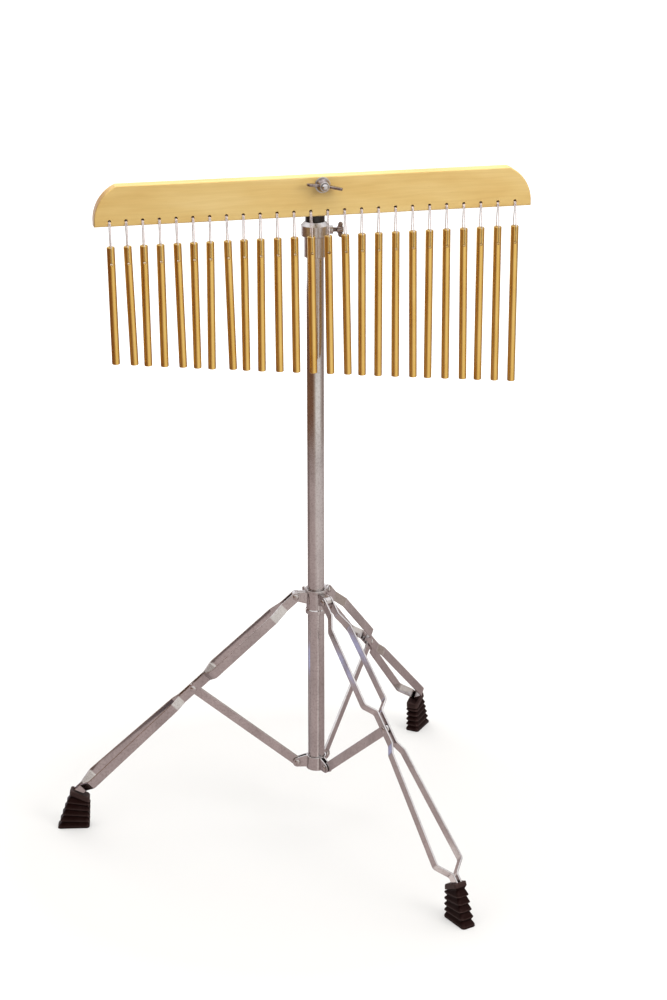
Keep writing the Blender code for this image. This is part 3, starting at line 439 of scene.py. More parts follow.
def makeZinc(name, dull, bright, rough):
    return makeFinish(name, {
        "sources": {"mottle": (evenly, 260, 5, 0.65), "grain": (evenly, 2200, 3, 0.7)},
        "tone": ("mottle", (0.32, dull), (0.66, bright)),
        "tints": [("MULTIPLY", 0.6, ("grain", (0.3, (0.82, 0.79, 0.76)), (0.6, white)))],
        "rough": ("mottle", *rough), "bump": ("grain", 0.18, 0.0002), "shader": {"Metallic": 1},
    })


zinc = makeZinc("zincPlate", (0.42, 0.39, 0.38), (0.64, 0.61, 0.6), (0.38, 0.2))
# a darker copy of zinc with painted shade in its tone, for the clamp's wing bolt and the wing nut
paintedShadeZinc = makeZinc("paintedShadeZinc", (0.13, 0.085, 0.075), (0.48, 0.42, 0.41), (0.34, 0.16))


def paintedCrestHighlight(tree):  # painted highlight: lighter where the rib crests are sharp
    return put(tree, "NewGeometry").outputs["Pointiness"]


rubber = makeFinish("footRubber", {
    "sources": {
        "dust": (evenly, 70, 6, 0.7), "scuff": ((1, 1, 3), 260, 4, 0.7), "skin": (evenly, 1900, 3, 0.6),
        "crests": paintedCrestHighlight,
    },
    "tone": ("dust", (0.42, (0.004, 0.0014, 0.0012)), (0.8, (0.014, 0.008, 0.0075))),
    "tints": [
        ("ADD", 0.5, ("scuff", (0.62, black), (0.74, (0.03, 0.024, 0.022)))),
        # painted highlight: a lighter colour added along the rib crests
        ("ADD", 1, ("crests", (0.51, black), (0.58, (0.06, 0.04, 0.037)))),
    ],
    "rough": ("dust", 0.3, 0.52), "bump": ("skin", 0.25, 0.0003),
    "shader": {"Specular IOR Level": 0.14, "Specular Tint": (1, 0.45, 0.42, 1)},
})
nylon = makeFinish("bushingNylon", {
    "sources": {"wear": ((1, 1, 0.2), 320, 4, 0.65), "skin": (evenly, 1500, 2)},
    "tone": ("wear", (0.45, (0.008, 0.0075, 0.009)), (0.8, (0.03, 0.028, 0.032))), "tints": [],
    "rough": ("wear", 0.26, 0.42), "bump": ("skin", 0.1, 0.0001),
})


def onRod(tree):  # 1 where the clear line lies on its rod and takes on its colour
    rodTops, fade = 836.3 * mm, 1.5 * mm
    height = put(tree, "SeparateXYZ", {0: ownPlace(tree)}).outputs["Z"]
    return mapped(tree, height, rodTops, rodTops - fade)


line = makeFinish("nylonLine", {
    "sources": {"cloud": ((1, 1, 0.4), 240, 3), "twist": ("DIAGONAL", evenly, 240, 1.5, 1), "onRod": onRod},
    "tone": ("cloud", (0.3, (0.6, 0.52, 0.52)), (0.6, (0.76, 0.68, 0.67))),
    "tints": [
        ("MIX", "onRod", (0.5, 0.345, 0.135)), ("MULTIPLY", 0.7, ("twist", (0, (0.93, 0.92, 0.91)), (0.5, white))),
    ],
    "rough": ("cloud", 0.22, 0.4), "bump": ("twist", 0.1, 0.0001),
    "shader": {"Subsurface Weight": 0.15, "Subsurface Radius": (0.001, 0.0008, 0.0007)},
})
print("finishes: 10")


# base tube and the upper tube that slides in it

tubes = {
    "base": lengths(radius=11.1, wall=1.2, low=79, high=835),
    "upper": lengths(radius=9.5, wall=1.2, low=417.9, high=867.9),
    "round": 0.45 * mm,
}
ringSteps = 96  # faces round the large turned pieces


def tubeMesh(size):
    outer = size["radius"]
    return sleeve(outer, outer - size["wall"], size["low"], size["high"], tubes["round"], ringSteps)


addPiece("baseTube", tubeMesh(tubes["base"]), chrome, "stand", ["base_tube"])
addPiece("upperTube", tubeMesh(tubes["upper"]), chrome, "mast", ["upper_tube"])
print("tubes: 2")


# wing bolts: the height clamp's, the leg collar's and the tilter's

wingBolt = lengths(
    shank=3, hub=4.2, hubHeight=8, reach=7, tip=3, thick=2.6, pitch=1, threadDepth=0.35, point=0.6, chamfer=1.2,
    round=0.7, wingShy=1, wingLift=0.5, hole=3.3,
)
boltBoss = lengths(radius=5.5, stands=5, boltShows=5, round=0.6)


def threaded(radius, low, high, pitch, depth):  # outline of a threaded shank, from low to high
    crest = (0.4, 0.6)  # where the crest starts and ends, in a pitch
    made = []
    count = int((high - low) / pitch)
    for i in range(count):
        at = low + (high - low) * i / count
        made += [(radius - depth, at), (radius, at + pitch * crest[0]), (radius, at + pitch * crest[1])]
    return made + [(radius - depth, high)]


def boltMesh(length):  # along +Z, tip of the shank at the origin
    s = wingBolt
    top = length + s["hubHeight"]
    shank = [(0, 0), (s["shank"] * 0.7, 0)]
    shank += threaded(s["shank"], s["point"], length, s["pitch"], s["threadDepth"])
    hub = [(s["shank"] * 0.8, length), (s["hub"], length), (s["hub"], top - s["chamfer"])]
    hub += [(s["hub"] * 0.8, top), (0, top)]
    body = lathe(shank + eased(hub, s["round"]), 40)
    wings = []
    root = s["hubHeight"] / 2 - s["wingShy"]
    place = shift(z=length + s["wingLift"]) @ turn(90, "X")
    for side in (1, -1):
        outline = pill((side * s["hub"] / 2, root), root, (side * s["reach"], s["hubHeight"] / 2), s["tip"], 16)
        wings.append(slab([outline], s["thick"], s["round"], place, 3))
    return union(body, *wings)


def outward(azimuth, radius, height):  # +Z points out along the azimuth
    return shift(z=height) @ turn(azimuth, "Z") @ shift(x=radius) @ turn(90, "Y")


def bossMesh(start, outside, azimuth, height):  # the boss that a wing bolt goes through
    radius = boltBoss["radius"]
    length = outside + boltBoss["stands"] - start
    outline = eased([(0, 0), (radius, 0), (radius, length), (0, length)], boltBoss["round"])
    return lathe(outline, 48, outward(azimuth, start, height))


def bossDrill(outside, azimuth, height):
    return cylinder(wingBolt["hole"], 0, outside, 40, outward(azimuth, tubes["base"]["radius"], height))


def addWingBolt(name, look, node, outside, azimuth, height):  # its tip presses on the base tube
    tip = tubes["base"]["radius"] + 2 * gap
    bolt = boltMesh(outside + boltBoss["stands"] + boltBoss["boltShows"] - tip)
    addPiece(name, bolt, look, node, [node], outward(azimuth, tip, height))


# height clamp, its bushing and wing bolt

clamp = {"boltAzimuth": -10, **lengths(
    bore=11.4, lip=1.6, ring=6.5, sleeve=2.8, top=844.6, ringTop=840.6, ringHeight=14.6, sleeveLength=27, chamfer=0.8,
    round=0.6,
)}
bushing = lengths(flange=12.4, skirt=11.1, inner=9.8, low=844.9, high=852.9, skirtLow=835.3, round=0.8)


def makeClamp():
    c = clamp
    ring, tail, chamfer = c["bore"] + c["ring"], c["bore"] + c["sleeve"], c["chamfer"]
    ringLow = c["ringTop"] - c["ringHeight"]
    tailLow = ringLow - c["sleeveLength"]
    outline = [
        (c["bore"] + c["lip"], c["top"]), (ring - chamfer, c["ringTop"]), (ring, c["ringTop"] - chamfer),
        (ring, ringLow + chamfer), (ring - chamfer, ringLow), (tail, ringLow), (tail, tailLow),
        (c["bore"], tailLow), (c["bore"], c["top"]),
    ]
    body = lathe(eased(outline, c["round"], True, 3), ringSteps)
    bolt = (ring, c["boltAzimuth"], c["ringTop"] - c["ringHeight"] / 2)
    mesh = cutBy(union(body, bossMesh(c["bore"] + c["ring"] / 2, *bolt)), bossDrill(*bolt))
    addPiece("heightClamp", mesh, satinChrome, "stand", ["height_clamp"])
    addWingBolt("clampWingBolt", paintedShadeZinc, "clamp_wing_bolt", *bolt)


def makeBushing():
    b = bushing
    outline = [
        (b["flange"], b["high"]), (b["flange"], b["low"]), (b["skirt"], b["low"]), (b["skirt"], b["skirtLow"]),
        (b["inner"], b["skirtLow"]), (b["inner"], b["high"]),
    ]
    mesh = lathe(eased(outline, b["round"], True), ringSteps)
    addPiece("clampBushing", mesh, nylon, "clamp_bushing", ["clamp_bushing"])


makeClamp()
makeBushing()
print("height clamp: 3")


# leg collar, which slides on the base tube

legAzimuths = {"front": -69.5, "rear": 50.5, "left": -189.5}
pins = lengths(radius=2.4, head=4.2, headHeight=2, rim=0.2)
collar = {"boltAzimuth": 110.5, **lengths(
    pivotHeight=334, pivotRadius=27, bore=11.4, wall=1.5, low=-24, high=10.5, flange=4, flangeHeight=3.8, bead=2.6,
    beadHeight=7, lugHalf=3.9, lugTip=6.3, lugRoot=8.5, round=0.7, boltDrop=7, boreReach=60,
)}


def makeCollar():
    c = collar
    wall, flange, bead = [c["bore"] + c[key] for key in ("wall", "flange", "bead")]
    flangeLow, beadHigh = c["high"] - c["flangeHeight"], c["low"] + c["beadHeight"]
    outline = [
        (flange, c["high"]), (flange, flangeLow), (wall, flangeLow), (wall, beadHigh), (bead, beadHigh - c["wall"]),
        (bead, c["low"]), (c["bore"], c["low"]), (c["bore"], c["high"]),
    ]
    body = lathe(eased(outline, c["round"], True, 3), ringSteps)
    pivot = (c["pivotRadius"], 0)
    root = (wall, flangeLow - c["lugRoot"])
    loops = [pill(root, c["lugRoot"], pivot, c["lugTip"]), circle(pivot, pins["radius"] + gap)]
    lugs = []
    for azimuth in legAzimuths.values():
        lugs.append(slab(loops, 2 * c["lugHalf"], c["round"], turn(azimuth, "Z") @ turn(90, "X"), 3))
    bolt = (flange, c["boltAzimuth"])
    boss = bossMesh(c["bore"] + c["wall"] / 2, *bolt, -c["boltDrop"])
    bore = cylinder(c["bore"], -c["boreReach"], c["boreReach"], ringSteps)
    mesh = cutBy(union(body, *lugs, boss), bore, bossDrill(*bolt, -c["boltDrop"]))
    addPiece("legCollar", mesh, chrome, "leg_collar", ["leg_collar"], shift(z=c["pivotHeight"]))
    addWingBolt("collarWingBolt", zinc, "collar_wing_bolt", *bolt, c["pivotHeight"] - c["boltDrop"])


makeCollar()


# lower hub: a pressed band with a pair of ears for each strut

hub = lengths(
    pivotHeight=89, pivotRadius=26, band=11.4, wall=2.4, below=9, above=10, earGap=2.2, earThick=2, earTip=6.5,
    earRoot=8.5, round=0.7, earRound=0.5, boreReach=40,
)


def makeHub():
    h = hub
    outer = h["band"] + h["wall"]
    body = sleeve(outer, h["band"], -h["below"], h["above"], h["round"], ringSteps)
    pivot = (h["pivotRadius"], 0)
    root = (outer, -h["below"] + h["earRoot"] + h["wall"])
    loops = [pill(root, h["earRoot"], pivot, h["earTip"]), circle(pivot, pins["radius"] + gap)]
    ears = []
    for azimuth in legAzimuths.values():
        for side in (1, -1):
            place = turn(azimuth, "Z") @ shift(y=side * (h["earGap"] + h["earThick"] / 2)) @ turn(90, "X")
            ears.append(slab(loops, h["earThick"], h["earRound"], place))
    bore = cylinder(h["band"], -h["boreReach"], h["boreReach"], ringSteps)
    mesh = cutBy(union(body, *ears), bore)
    addPiece("lowerHub", mesh, chrome, "stand", ["lower_hub"], shift(z=h["pivotHeight"]))


makeHub()
print("collar and hub: 3")


# tripod legs

leg = {"endAngles": (6, 14, 24, 36, 48, 60, 75), **lengths(
    toRivet=191.4, strutLength=180.9, barWidth=12.5, strip=2.4, strut=3, clear=0.7, spreadStart=22, spreadFull=42,
    spread=14.5, spreadEnd=16.5, beforeRivet=25, afterRivet=22, bendRun=13, lowSpread=9.5, lowSpreadEnd=19.5,
    footBend=17, tongue=3, tongueShow=12, tongueDepth=5, bendRadius=7, edge=0.55,
)}
foot = {
    "ribs": 5, "topTilt": 26, "sole": ((0.3, 0.45), (1, 0.1)),  # (height, inset) of the sole's rounded edge, in mm
    "crest": ((-0.7, 0.35), (-0.2, 0.06), (0.35, 0.08), (1.2, 0.45)),  # (rise, inset) over a rib's crest, in mm
    **lengths(height=51, pitch=8.6, fall=5.4, depth=2.4, first=2.6, soleHalf=22, soleWide=10.5, topHalf=14, topWide=9,
              lean=11, inset=4.5, corner=4, edge=1),
}


def linkage():  # angles of the leg and the strut, and the leg's length to its foot
    hubPivot = Vector((hub["pivotRadius"], hub["pivotHeight"]))
    span = Vector((collar["pivotRadius"], collar["pivotHeight"])) - hubPivot
    along = (leg["strutLength"] ** 2 - leg["toRivet"] ** 2 + span.length ** 2) / (2 * span.length)
    out = math.sqrt(leg["strutLength"] ** 2 - along ** 2)
    heading = span.normalized()
    rivet = hubPivot + along * heading + out * Vector((heading.y, -heading.x))
    fall = math.degrees(math.atan2(collar["pivotHeight"] - rivet.y, rivet.x - collar["pivotRadius"]))
    rise = math.degrees(math.atan2(rivet.y - hub["pivotHeight"], rivet.x - hub["pivotRadius"]))
    return fall, rise, (collar["pivotHeight"] - foot["height"]) / math.sin(math.radians(fall))


legFall, strutRise, legToFoot = linkage()
closeHalf = leg["strut"] / 2 + leg["clear"] + leg["strip"] / 2
collarHalf = collar["lugHalf"] + gap + leg["strip"] / 2


def domeOf(seat):  # outline of a rivet's head from its seat
    angles = [math.radians(a) for a in range(10, 90, 10)]
    dome = [(pins["head"] * math.cos(a), seat + pins["headHeight"] * math.sin(a)) for a in angles]
    return [(pins["head"] - pins["rim"], seat)] + dome


def pinMesh(halfGrip):  # rivet along Y
    seat = halfGrip + gap
    head = seat + pins["headHeight"]
    side = [(pins["radius"], seat)] + domeOf(seat)
    outline = [(0, -head)] + [(r, -z) for r, z in reversed(side)] + side + [(0, head)]
    return lathe(outline, 36, turn(90, "X"))


def stripMesh(side):  # a flat bar on edge, bent along the leg, with its upper end rounded about the pin
    s = leg
    tongue = legToFoot - s["tongueShow"]
    before = s["toRivet"] - s["beforeRivet"]
    after = s["toRivet"] + s["afterRivet"]
    bends = [
        (0, collarHalf), (s["spreadStart"], collarHalf), (s["spreadFull"], s["spread"]),
        (before - s["bendRun"], s["spreadEnd"]), (before, closeHalf), (after, closeHalf),
        (after + s["bendRun"], s["lowSpread"]), (tongue - s["footBend"], s["lowSpreadEnd"]),
        (tongue, s["tongue"]), (legToFoot + s["tongueDepth"], s["tongue"]),
    ]
    half = s["barWidth"] / 2
    ends = [math.radians(a) for a in s["endAngles"]]
    stations = [(-half * math.cos(a), collarHalf, math.sin(a)) for a in ends]
    stations += [(along, out, 1) for along, out in eased(bends, s["bendRadius"], False, 6)]
    rows = []
    for i, (along, out, wide) in enumerate(stations):
        back = stations[max(i - 1, 0)]
        ahead = stations[min(i + 1, len(stations) - 1)]
        heading = Vector((ahead[0] - back[0], ahead[1] - back[1])).normalized()
        across = Vector((-heading.y, heading.x))
        spots = roundedBox(s["strip"] / 2, half * wide, min(s["edge"], half * wide * 0.5), 3)
        rows.append([(along + across.x * u, side * (out + across.y * u), v) for u, v in spots])
    seat = -s["strip"] / 2
    outline = [(0, seat), (pins["head"] - pins["rim"], seat)] + domeOf(0) + [(0, pins["headHeight"])]
    face = closeHalf + s["strip"] / 2
    head = lathe(outline, 36, shift(s["toRivet"], side * face) @ turn(-90 * side, "X"))
    hole = cylinder(pins["radius"] + gap, -2 * collarHalf, 0, 32, turn(90 * side, "X"))
    return union(cutBy(loft(rows), hole), head)


def footSection(height, inset, tilt):
    f = foot
    share = height / f["height"]
    halfLength = f["soleHalf"] + (f["topHalf"] - f["soleHalf"]) * share - inset
    halfWide = f["soleWide"] + (f["topWide"] - f["soleWide"]) * share - inset
    spots = roundedBox(halfLength, halfWide, min(f["corner"], halfLength, halfWide), 7)
    place = shift(f["lean"] * (1 - share) - f["inset"], 0, height) @ turn(-tilt, "Y")
    return [place @ Vector((x, y, 0)) for x, y in spots]


def footMesh():  # sole, saw-tooth ribs and a smooth collar, with a pocket for the strips
    f = foot
    rows = [footSection(0, f["edge"], 0)] + [footSection(height * mm, inset * mm, 0) for height, inset in f["sole"]]
    for rib in range(f["ribs"]):
        crest = f["first"] + f["pitch"] * rib
        tilt = f["topTilt"] * crest / f["height"] if rib else 0
        for rise, inset in f["crest"]:
            rows.append(footSection(crest + rise * mm, inset * mm, tilt / 2))
        for share in (0.55, 0.85):
            rows.append(footSection(crest + f["fall"] * share, f["depth"] * share, tilt * (0.5 + share / 2)))
        rows.append(footSection(crest + f["fall"], f["depth"], tilt))
        rows.append(footSection(crest + f["fall"] + 0.5 * mm, f["depth"] * 0.96, tilt))
    collarLow = f["first"] + f["pitch"] * (f["ribs"] - 1) + f["fall"] + f["depth"]
    rim = [
        (collarLow - 0.5 * mm, 0.3 * mm), (collarLow, 0), (f["height"] - f["edge"], 0),
        (f["height"] - 0.3 * mm, 0.4 * mm), (f["height"], f["edge"]),
    ]
    rows += [footSection(height, inset, f["topTilt"]) for height, inset in rim]
    depth = leg["tongueDepth"] + gap
    size = (f["height"] + depth, 2 * (leg["tongue"] + leg["strip"] / 2 + gap), leg["barWidth"] + 2 * gap)
    pocket = block(size, shift(z=f["height"]) @ turn(legFall, "Y") @ shift(x=depth - size[0] / 2))
    return cutBy(loft(rows), pocket)


def makeLeg(name, azimuth):
    legBody, strutBody = f"{name}_leg", f"{name}_strut"
    hinge = turn(azimuth, "Z") @ shift(collar["pivotRadius"], 0, collar["pivotHeight"])
    sloped = hinge @ turn(legFall, "Y")
    for number, side in ((1, 1), (2, -1)):
        node = f"{name}_leg_strip_{number}"
        addPiece(f"{name}LegStrip{number}", stripMesh(side), barChrome, legBody, [node], sloped)
    pin = pinMesh(collarHalf + leg["strip"] / 2)
    addPiece(f"{name}LegPin", pin, zinc, legBody, [f"{name}_leg_pin"], hinge)
    run = math.radians(legFall)
    standing = hinge @ shift(legToFoot * math.cos(run), 0, -legToFoot * math.sin(run) - foot["height"])
    addPiece(f"{name}Foot", footMesh(), rubber, legBody, [f"{name}_foot"], standing, 50)
    base = turn(azimuth, "Z") @ shift(hub["pivotRadius"], 0, hub["pivotHeight"])
    half = leg["barWidth"] / 2
    loops = [pill((0, 0), half, (leg["strutLength"], 0), half), circle((0, 0), pins["radius"] + gap)]
    strut = slab(loops, leg["strut"], leg["edge"], turn(90, "X"))
    addPiece(f"{name}Strut", strut, barChrome, strutBody, [strutBody], base @ turn(-strutRise, "Y"))
    strutPin = pinMesh(hub["earGap"] + hub["earThick"])
    addPiece(f"{name}StrutPin", strutPin, zinc, "stand", [f"{name}_strut_pin"], base)


for legName, legAzimuth in legAzimuths.items():
    makeLeg(legName, legAzimuth)
print("legs: 3, with 6 pieces each")


# tilter between the upper tube and the mantle

tilter = {"earFoot": 0.7, "earTop": 0.95, **lengths(
    height=891.9, seat=-23.7, knuckle=9.2, width=9, ear=4, plug=8, plugLength=22, stem=9.5, rodRise=8.4, rod=4,
    reach=24, shoulder=9, shoulderThick=3, neck=5.5, neckRun=6, boltHole=3.3, boltReach=30, rodPitch=1.25,
    threadDepth=0.4, stemRound=0.6, earRound=0.8, armRound=0.9, rodRound=0.5,
)}
rodHeight = tilter["height"] + tilter["rodRise"]
washerBack, mantleBack, mantleFront = -24.3 * mm, -26.2 * mm, -44.2 * mm  # faces along the rod
nutSeat, rodEnd = -46.2 * mm, -62.2 * mm


def makeTilter():
    t = tilter
    standing = shift(z=t["height"])
    sideOn = turn(90, "Z") @ turn(90, "X")
    hole = cylinder(t["boltHole"], -t["boltReach"], t["boltReach"], 40, turn(90, "Y"))

    floor = -t["knuckle"] - 2 * gap
    plugLow = t["seat"] - t["plugLength"]
    stem = [(0, floor), (t["stem"], floor), (t["stem"], t["seat"]), (t["plug"], t["seat"])]
    stem += [(t["plug"], plugLow), (0, plugLow)]
    middle = (t["seat"] + floor) / 2
    earMiddle = t["width"] / 2 + gap + t["ear"] / 2
    earFoot, earTop = t["knuckle"] * t["earFoot"], t["knuckle"] * t["earTop"]
    outline = pill((0, middle), earFoot, (0, 0), earTop)
    ears = [slab([outline], t["ear"], t["earRound"], shift(x=side * earMiddle) @ sideOn, 3) for side in (1, -1)]
    yoke = softened(block((2 * earMiddle, 2 * earFoot, floor - t["seat"]), shift(z=middle)), t["earRound"])
    base = cutBy(union(lathe(eased(stem, t["stemRound"]), 72), yoke, *ears), hole.copy())
    addPiece("tilterBase", base, chrome, "mast", ["tilter_base"], standing)

    shoulder = t["reach"] - t["shoulderThick"]
    neck = t["neck"] * 0.8
    outline = eased([
        (0, shoulder - t["neckRun"]), (neck, shoulder - t["neckRun"]), (neck, shoulder), (t["shoulder"], shoulder),
        (t["shoulder"], t["reach"]), (t["rod"] * 0.9, t["reach"]),
    ], t["rodRound"])
    outline += threaded(t["rod"], t["reach"] + 1 * mm, -rodEnd - 1.2 * mm, t["rodPitch"], t["threadDepth"])
    outline += [(t["rod"] * 0.7, -rodEnd - 0.3 * mm), (t["rod"] * 0.45, -rodEnd), (0, -rodEnd)]  # rounded tip
    rod = lathe(outline, 48, shift(z=t["rodRise"]) @ turn(90, "X"))
    outline = pill((0, 0), t["knuckle"], (t["neck"] - shoulder, t["rodRise"]), t["neck"])
    arm = slab([outline], t["width"], t["armRound"], sideOn, 3)
    addPiece("tilterArm", cutBy(union(arm, rod), hole), chrome, "tilter_arm", ["tilter_arm"], standing)

    reach = earMiddle + t["ear"] / 2
    place = shift(-reach, 0, t["height"]) @ turn(90, "Y") @ turn(90, "Z")
    addPiece("tilterBolt", boltMesh(2 * reach + gap), zinc, "tilter_bolt", ["tilter_bolt"], place)


makeTilter()


# washers and wing nut on the rod

washers = lengths(radius=10, hole=4.3, back=1.6, front=1.4, round=0.35)
wingNut = {"turned": 10, **lengths(
    base=8.5, top=6, height=12, reach=19.5, rise=11, root=4.5, tip=3.6, thick=3.4, bore=4.3, boreLow=-10, boreHigh=30,
    round=0.8, wingRound=0.9,
)}


def makeWashers():
    w = washers
    for side, face in (("back", washerBack), ("front", mantleFront - gap)):
        mesh = sleeve(w["radius"], w["hole"], 0, w[side], w["round"], 64)
        place = shift(0, face, rodHeight) @ turn(90, "X")
        addPiece(side + "Washer", mesh, zinc, "tilter_arm", [side + "_washer"], place)


def makeWingNut():
    n = wingNut
    outline = [
        (n["top"], n["height"]), (n["base"] * 0.93, n["height"] * 0.4), (n["base"], n["height"] * 0.25),
        (n["base"], 0), (n["bore"], 0), (n["bore"], n["height"]),
    ]
    body = lathe(eased(outline, n["round"], True), 64)
    root = n["base"] - n["root"] / 2
    wings = []
    for side in (1, -1):
        outline = pill((side * root, n["root"]), n["root"], (side * n["reach"], n["rise"]), n["tip"], 20)
        wings.append(slab([outline], n["thick"], n["wingRound"], turn(90, "X"), 3))
    mesh = cutBy(union(body, *wings), cylinder(n["bore"], n["boreLow"], n["boreHigh"], 64))
    middles = [face.center.copy() for face in mesh.polygons]
    place = shift(0, nutSeat, rodHeight) @ turn(n["turned"], "Y") @ turn(90, "X")
    piece = addPiece("wingNut", mesh, paintedShadeZinc, "wing_nut", ["wing_nut"], place)
    # a brighter zinc beside the darker one, for a painted highlight on the end of the hub
    piece.data.materials.append(zinc)
    for face, middle in zip(piece.data.polygons, middles):  # the end of the hub takes the brighter zinc, a painted highlight
        face.material_index = int(middle.xy.length < n["top"] and middle.z > n["height"] / 2)


makeWashers()
makeWingNut()
print("tilter, washers and wing nut: 6")


# mantle and the cords' upper ends

mantle = lengths(
    length=556, height=50, depth=18, endRadius=48, endUpright=6, edge=1.5, boltBelowTop=10.5, offCentre=7.2,
    boltHole=4.3, boltFlare=0.5, cordHole=1.9, holeRise=6.6, countersink=0.35, drillPast=2,
)
chimes = {
    "count": 25,
    "leans": (0.8, 1.7, 0.6, 0.6, 1.4, 0.6, -0.2, 1.6, 0.4, 0, 0.5, 0.6, 0.7, 0.9, 1.2, 0.3, 0.1, 0.3, 0.7, 0, 0.3,
              0.6, 0, 0.1, 0.1),
    **lengths(pitch=21.5, crowding=6.5, rowShift=1.3, radius=5, shortest=149.5, longest=205.5, topEdge=1.2,
              endEdge=0.8, holeDrop=21.5, hole=1.7, flare=3.6, flareFrom=4.3, flareTo=8, cordDrop=24.5, line=0.7,
              apart=0.9),
}
knot = {"thick": 1.15, "steps": 48, **lengths(size=1.302, behind=1.35, weave=0.55)}
mantleBottom = rodHeight + mantle["boltBelowTop"] - mantle["height"]
mantlePlace = shift(0, (mantleFront + mantleBack) / 2, rodHeight)
hingeDepth = mantleFront - 1.3 * mm


def chimePlaces():
    half = (chimes["count"] - 1) / 2
    middle = -mantle["offCentre"] - chimes["rowShift"]
    steps = [i - half for i in range(chimes["count"])]
    return [middle + chimes["pitch"] * s - chimes["crowding"] * (1 - (s / half) ** 2) for s in steps]


def makeMantle():
    m = mantle
    left = -m["offCentre"] - m["length"] / 2
    right = left + m["length"]
    bottom = m["boltBelowTop"] - m["height"]
    shoulder = bottom + m["endUpright"]
    radius = m["endRadius"]
    sweep = math.degrees(math.asin((m["height"] - m["endUpright"]) / radius))
    outline = [(left, bottom), (right, bottom)] + arc((right - radius, shoulder), radius, 0, sweep, 28)
    outline += arc((left + radius, shoulder), radius, 180 - sweep, 180, 28)
    board = slab([outline], m["depth"], m["edge"], turn(90, "X"), 4)

    def drill(x, z, hole, flare):
        deep, past = m["depth"] / 2, m["drillPast"]
        wide, out = hole + flare + past, deep + past
        profile = [(0, -out), (wide, -out), (hole, flare - deep), (hole, deep - flare), (wide, out), (0, out)]
        return lathe(profile, 28, shift(x, 0, z) @ turn(90, "X"))

    drills = [drill(0, 0, m["boltHole"], m["boltFlare"])]
    drills += [drill(x, bottom + m["holeRise"], m["cordHole"], m["countersink"]) for x in chimePlaces()]
    addPiece("mantleBoard", cutBy(board, together(drills)), maple, "mantle", ["mantle"], mantlePlace, 30)


def makeTails():  # both ends of each cord, knotted behind the mantle and led out over the lip of the hole
    back = mantle["depth"] / 2
    bottom = mantle["boltBelowTop"] - mantle["height"]
    hole = bottom + mantle["holeRise"]
    hinge = hingeDepth - (mantleFront + mantleBack) / 2
    beside = 0.72 * mm
    path = [  # (beside the middle, along the hole, height)
        (beside, back + 1.2 * mm, hole), (beside, back - 3 * mm, hole - 0.8 * mm),
        (beside, 3 * mm - back, hole - 1.05 * mm), (beside, 0.4 * mm - back, hole - 1.15 * mm),  # in the hole
        (beside, -back - 0.75 * mm, hole - 2.2 * mm), (0.8 * mm, -back - 0.95 * mm, hole - 4 * mm),  # over its lip
        (chimes["apart"], hinge, bottom),
    ]
    turns = [2 * math.pi * i / knot["steps"] for i in range(knot["steps"] + 1)]
    tails = []
    for x in chimePlaces():
        for side in (-1, 1):
            route = [(x + side * across, y, z) for across, y, z in path]
            tails.append(strand(smoothLine(route), chimes["line"]))
        loop = []
        for a in turns:  # an overhand knot
            wide = (2 + math.cos(3 * a)) / 3 * knot["size"]
            behind = back + knot["behind"] + knot["weave"] * math.sin(3 * a)
            loop.append((x + wide * math.cos(2 * a), behind, hole + wide * math.sin(2 * a)))
        tails.append(strand(loop, chimes["line"] * knot["thick"]))
    addPiece("cordTails", together(tails), line, "mantle", place=mantlePlace, sharp=60)


makeMantle()
makeTails()
print("mantle: board and", chimes["count"], "knotted cords")


# chimes: a rod on a loop of cord, hung from the mantle's bottom edge

def makeChimes():
    c = chimes
    top = -c["cordDrop"]
    hole = top - c["holeDrop"]
    r, bore, thick = c["radius"], c["hole"], c["line"]
    wide, start, end = bore + c["flare"], c["flareFrom"], c["flareTo"]
    profile = [(0, -end), (wide, -end), (bore, -start), (bore, start), (wide, end), (0, end)]
    drill = lathe(profile, 32, shift(z=hole) @ turn(90, "X"))
    face = r + thick + 0.1 * mm
    half = [  # the cord from the mantle, down the front of the rod, to the middle of its hole
        (c["apart"], 0, 0), (0.5 * c["apart"], -0.5 * face, top * 0.5), (0, -face, top + 0.4 * mm),
        (0, -face, top - 6 * mm), (0, -face, hole + 3.4 * mm), (0, -face * 0.86, hole + 1.9 * mm),
        (0, -r * 0.45, hole + bore - thick),
    ]
    loop = strand(smoothLine(half + [(-x, -y, z) for x, y, z in reversed(half)]), thick)
    for i, x in enumerate(chimePlaces()):
        foot = top - c["shortest"] - (c["longest"] - c["shortest"]) * i / (c["count"] - 1)
        crown = arc((r - c["topEdge"], top - c["topEdge"]), c["topEdge"], 90, 0, 5)
        heel = arc((r - c["endEdge"], foot + c["endEdge"]), c["endEdge"], 0, -90, 4)
        rod = cutBy(lathe([(0, top)] + crown + heel + [(0, foot)], 48), drill.copy())
        place = shift(x, hingeDepth, mantleBottom) @ turn(-c["leans"][i], "Y")
        node = f"chime_{i + 1:02d}"
        addPiece(f"chimeRod{i + 1:02d}", rod, gold, node, [node], place)
        addPiece(f"chimeCord{i + 1:02d}", loop.copy(), line, node, place=place, sharp=60)


makeChimes()
print("chimes:", chimes["count"])


# floor, cards and studio light

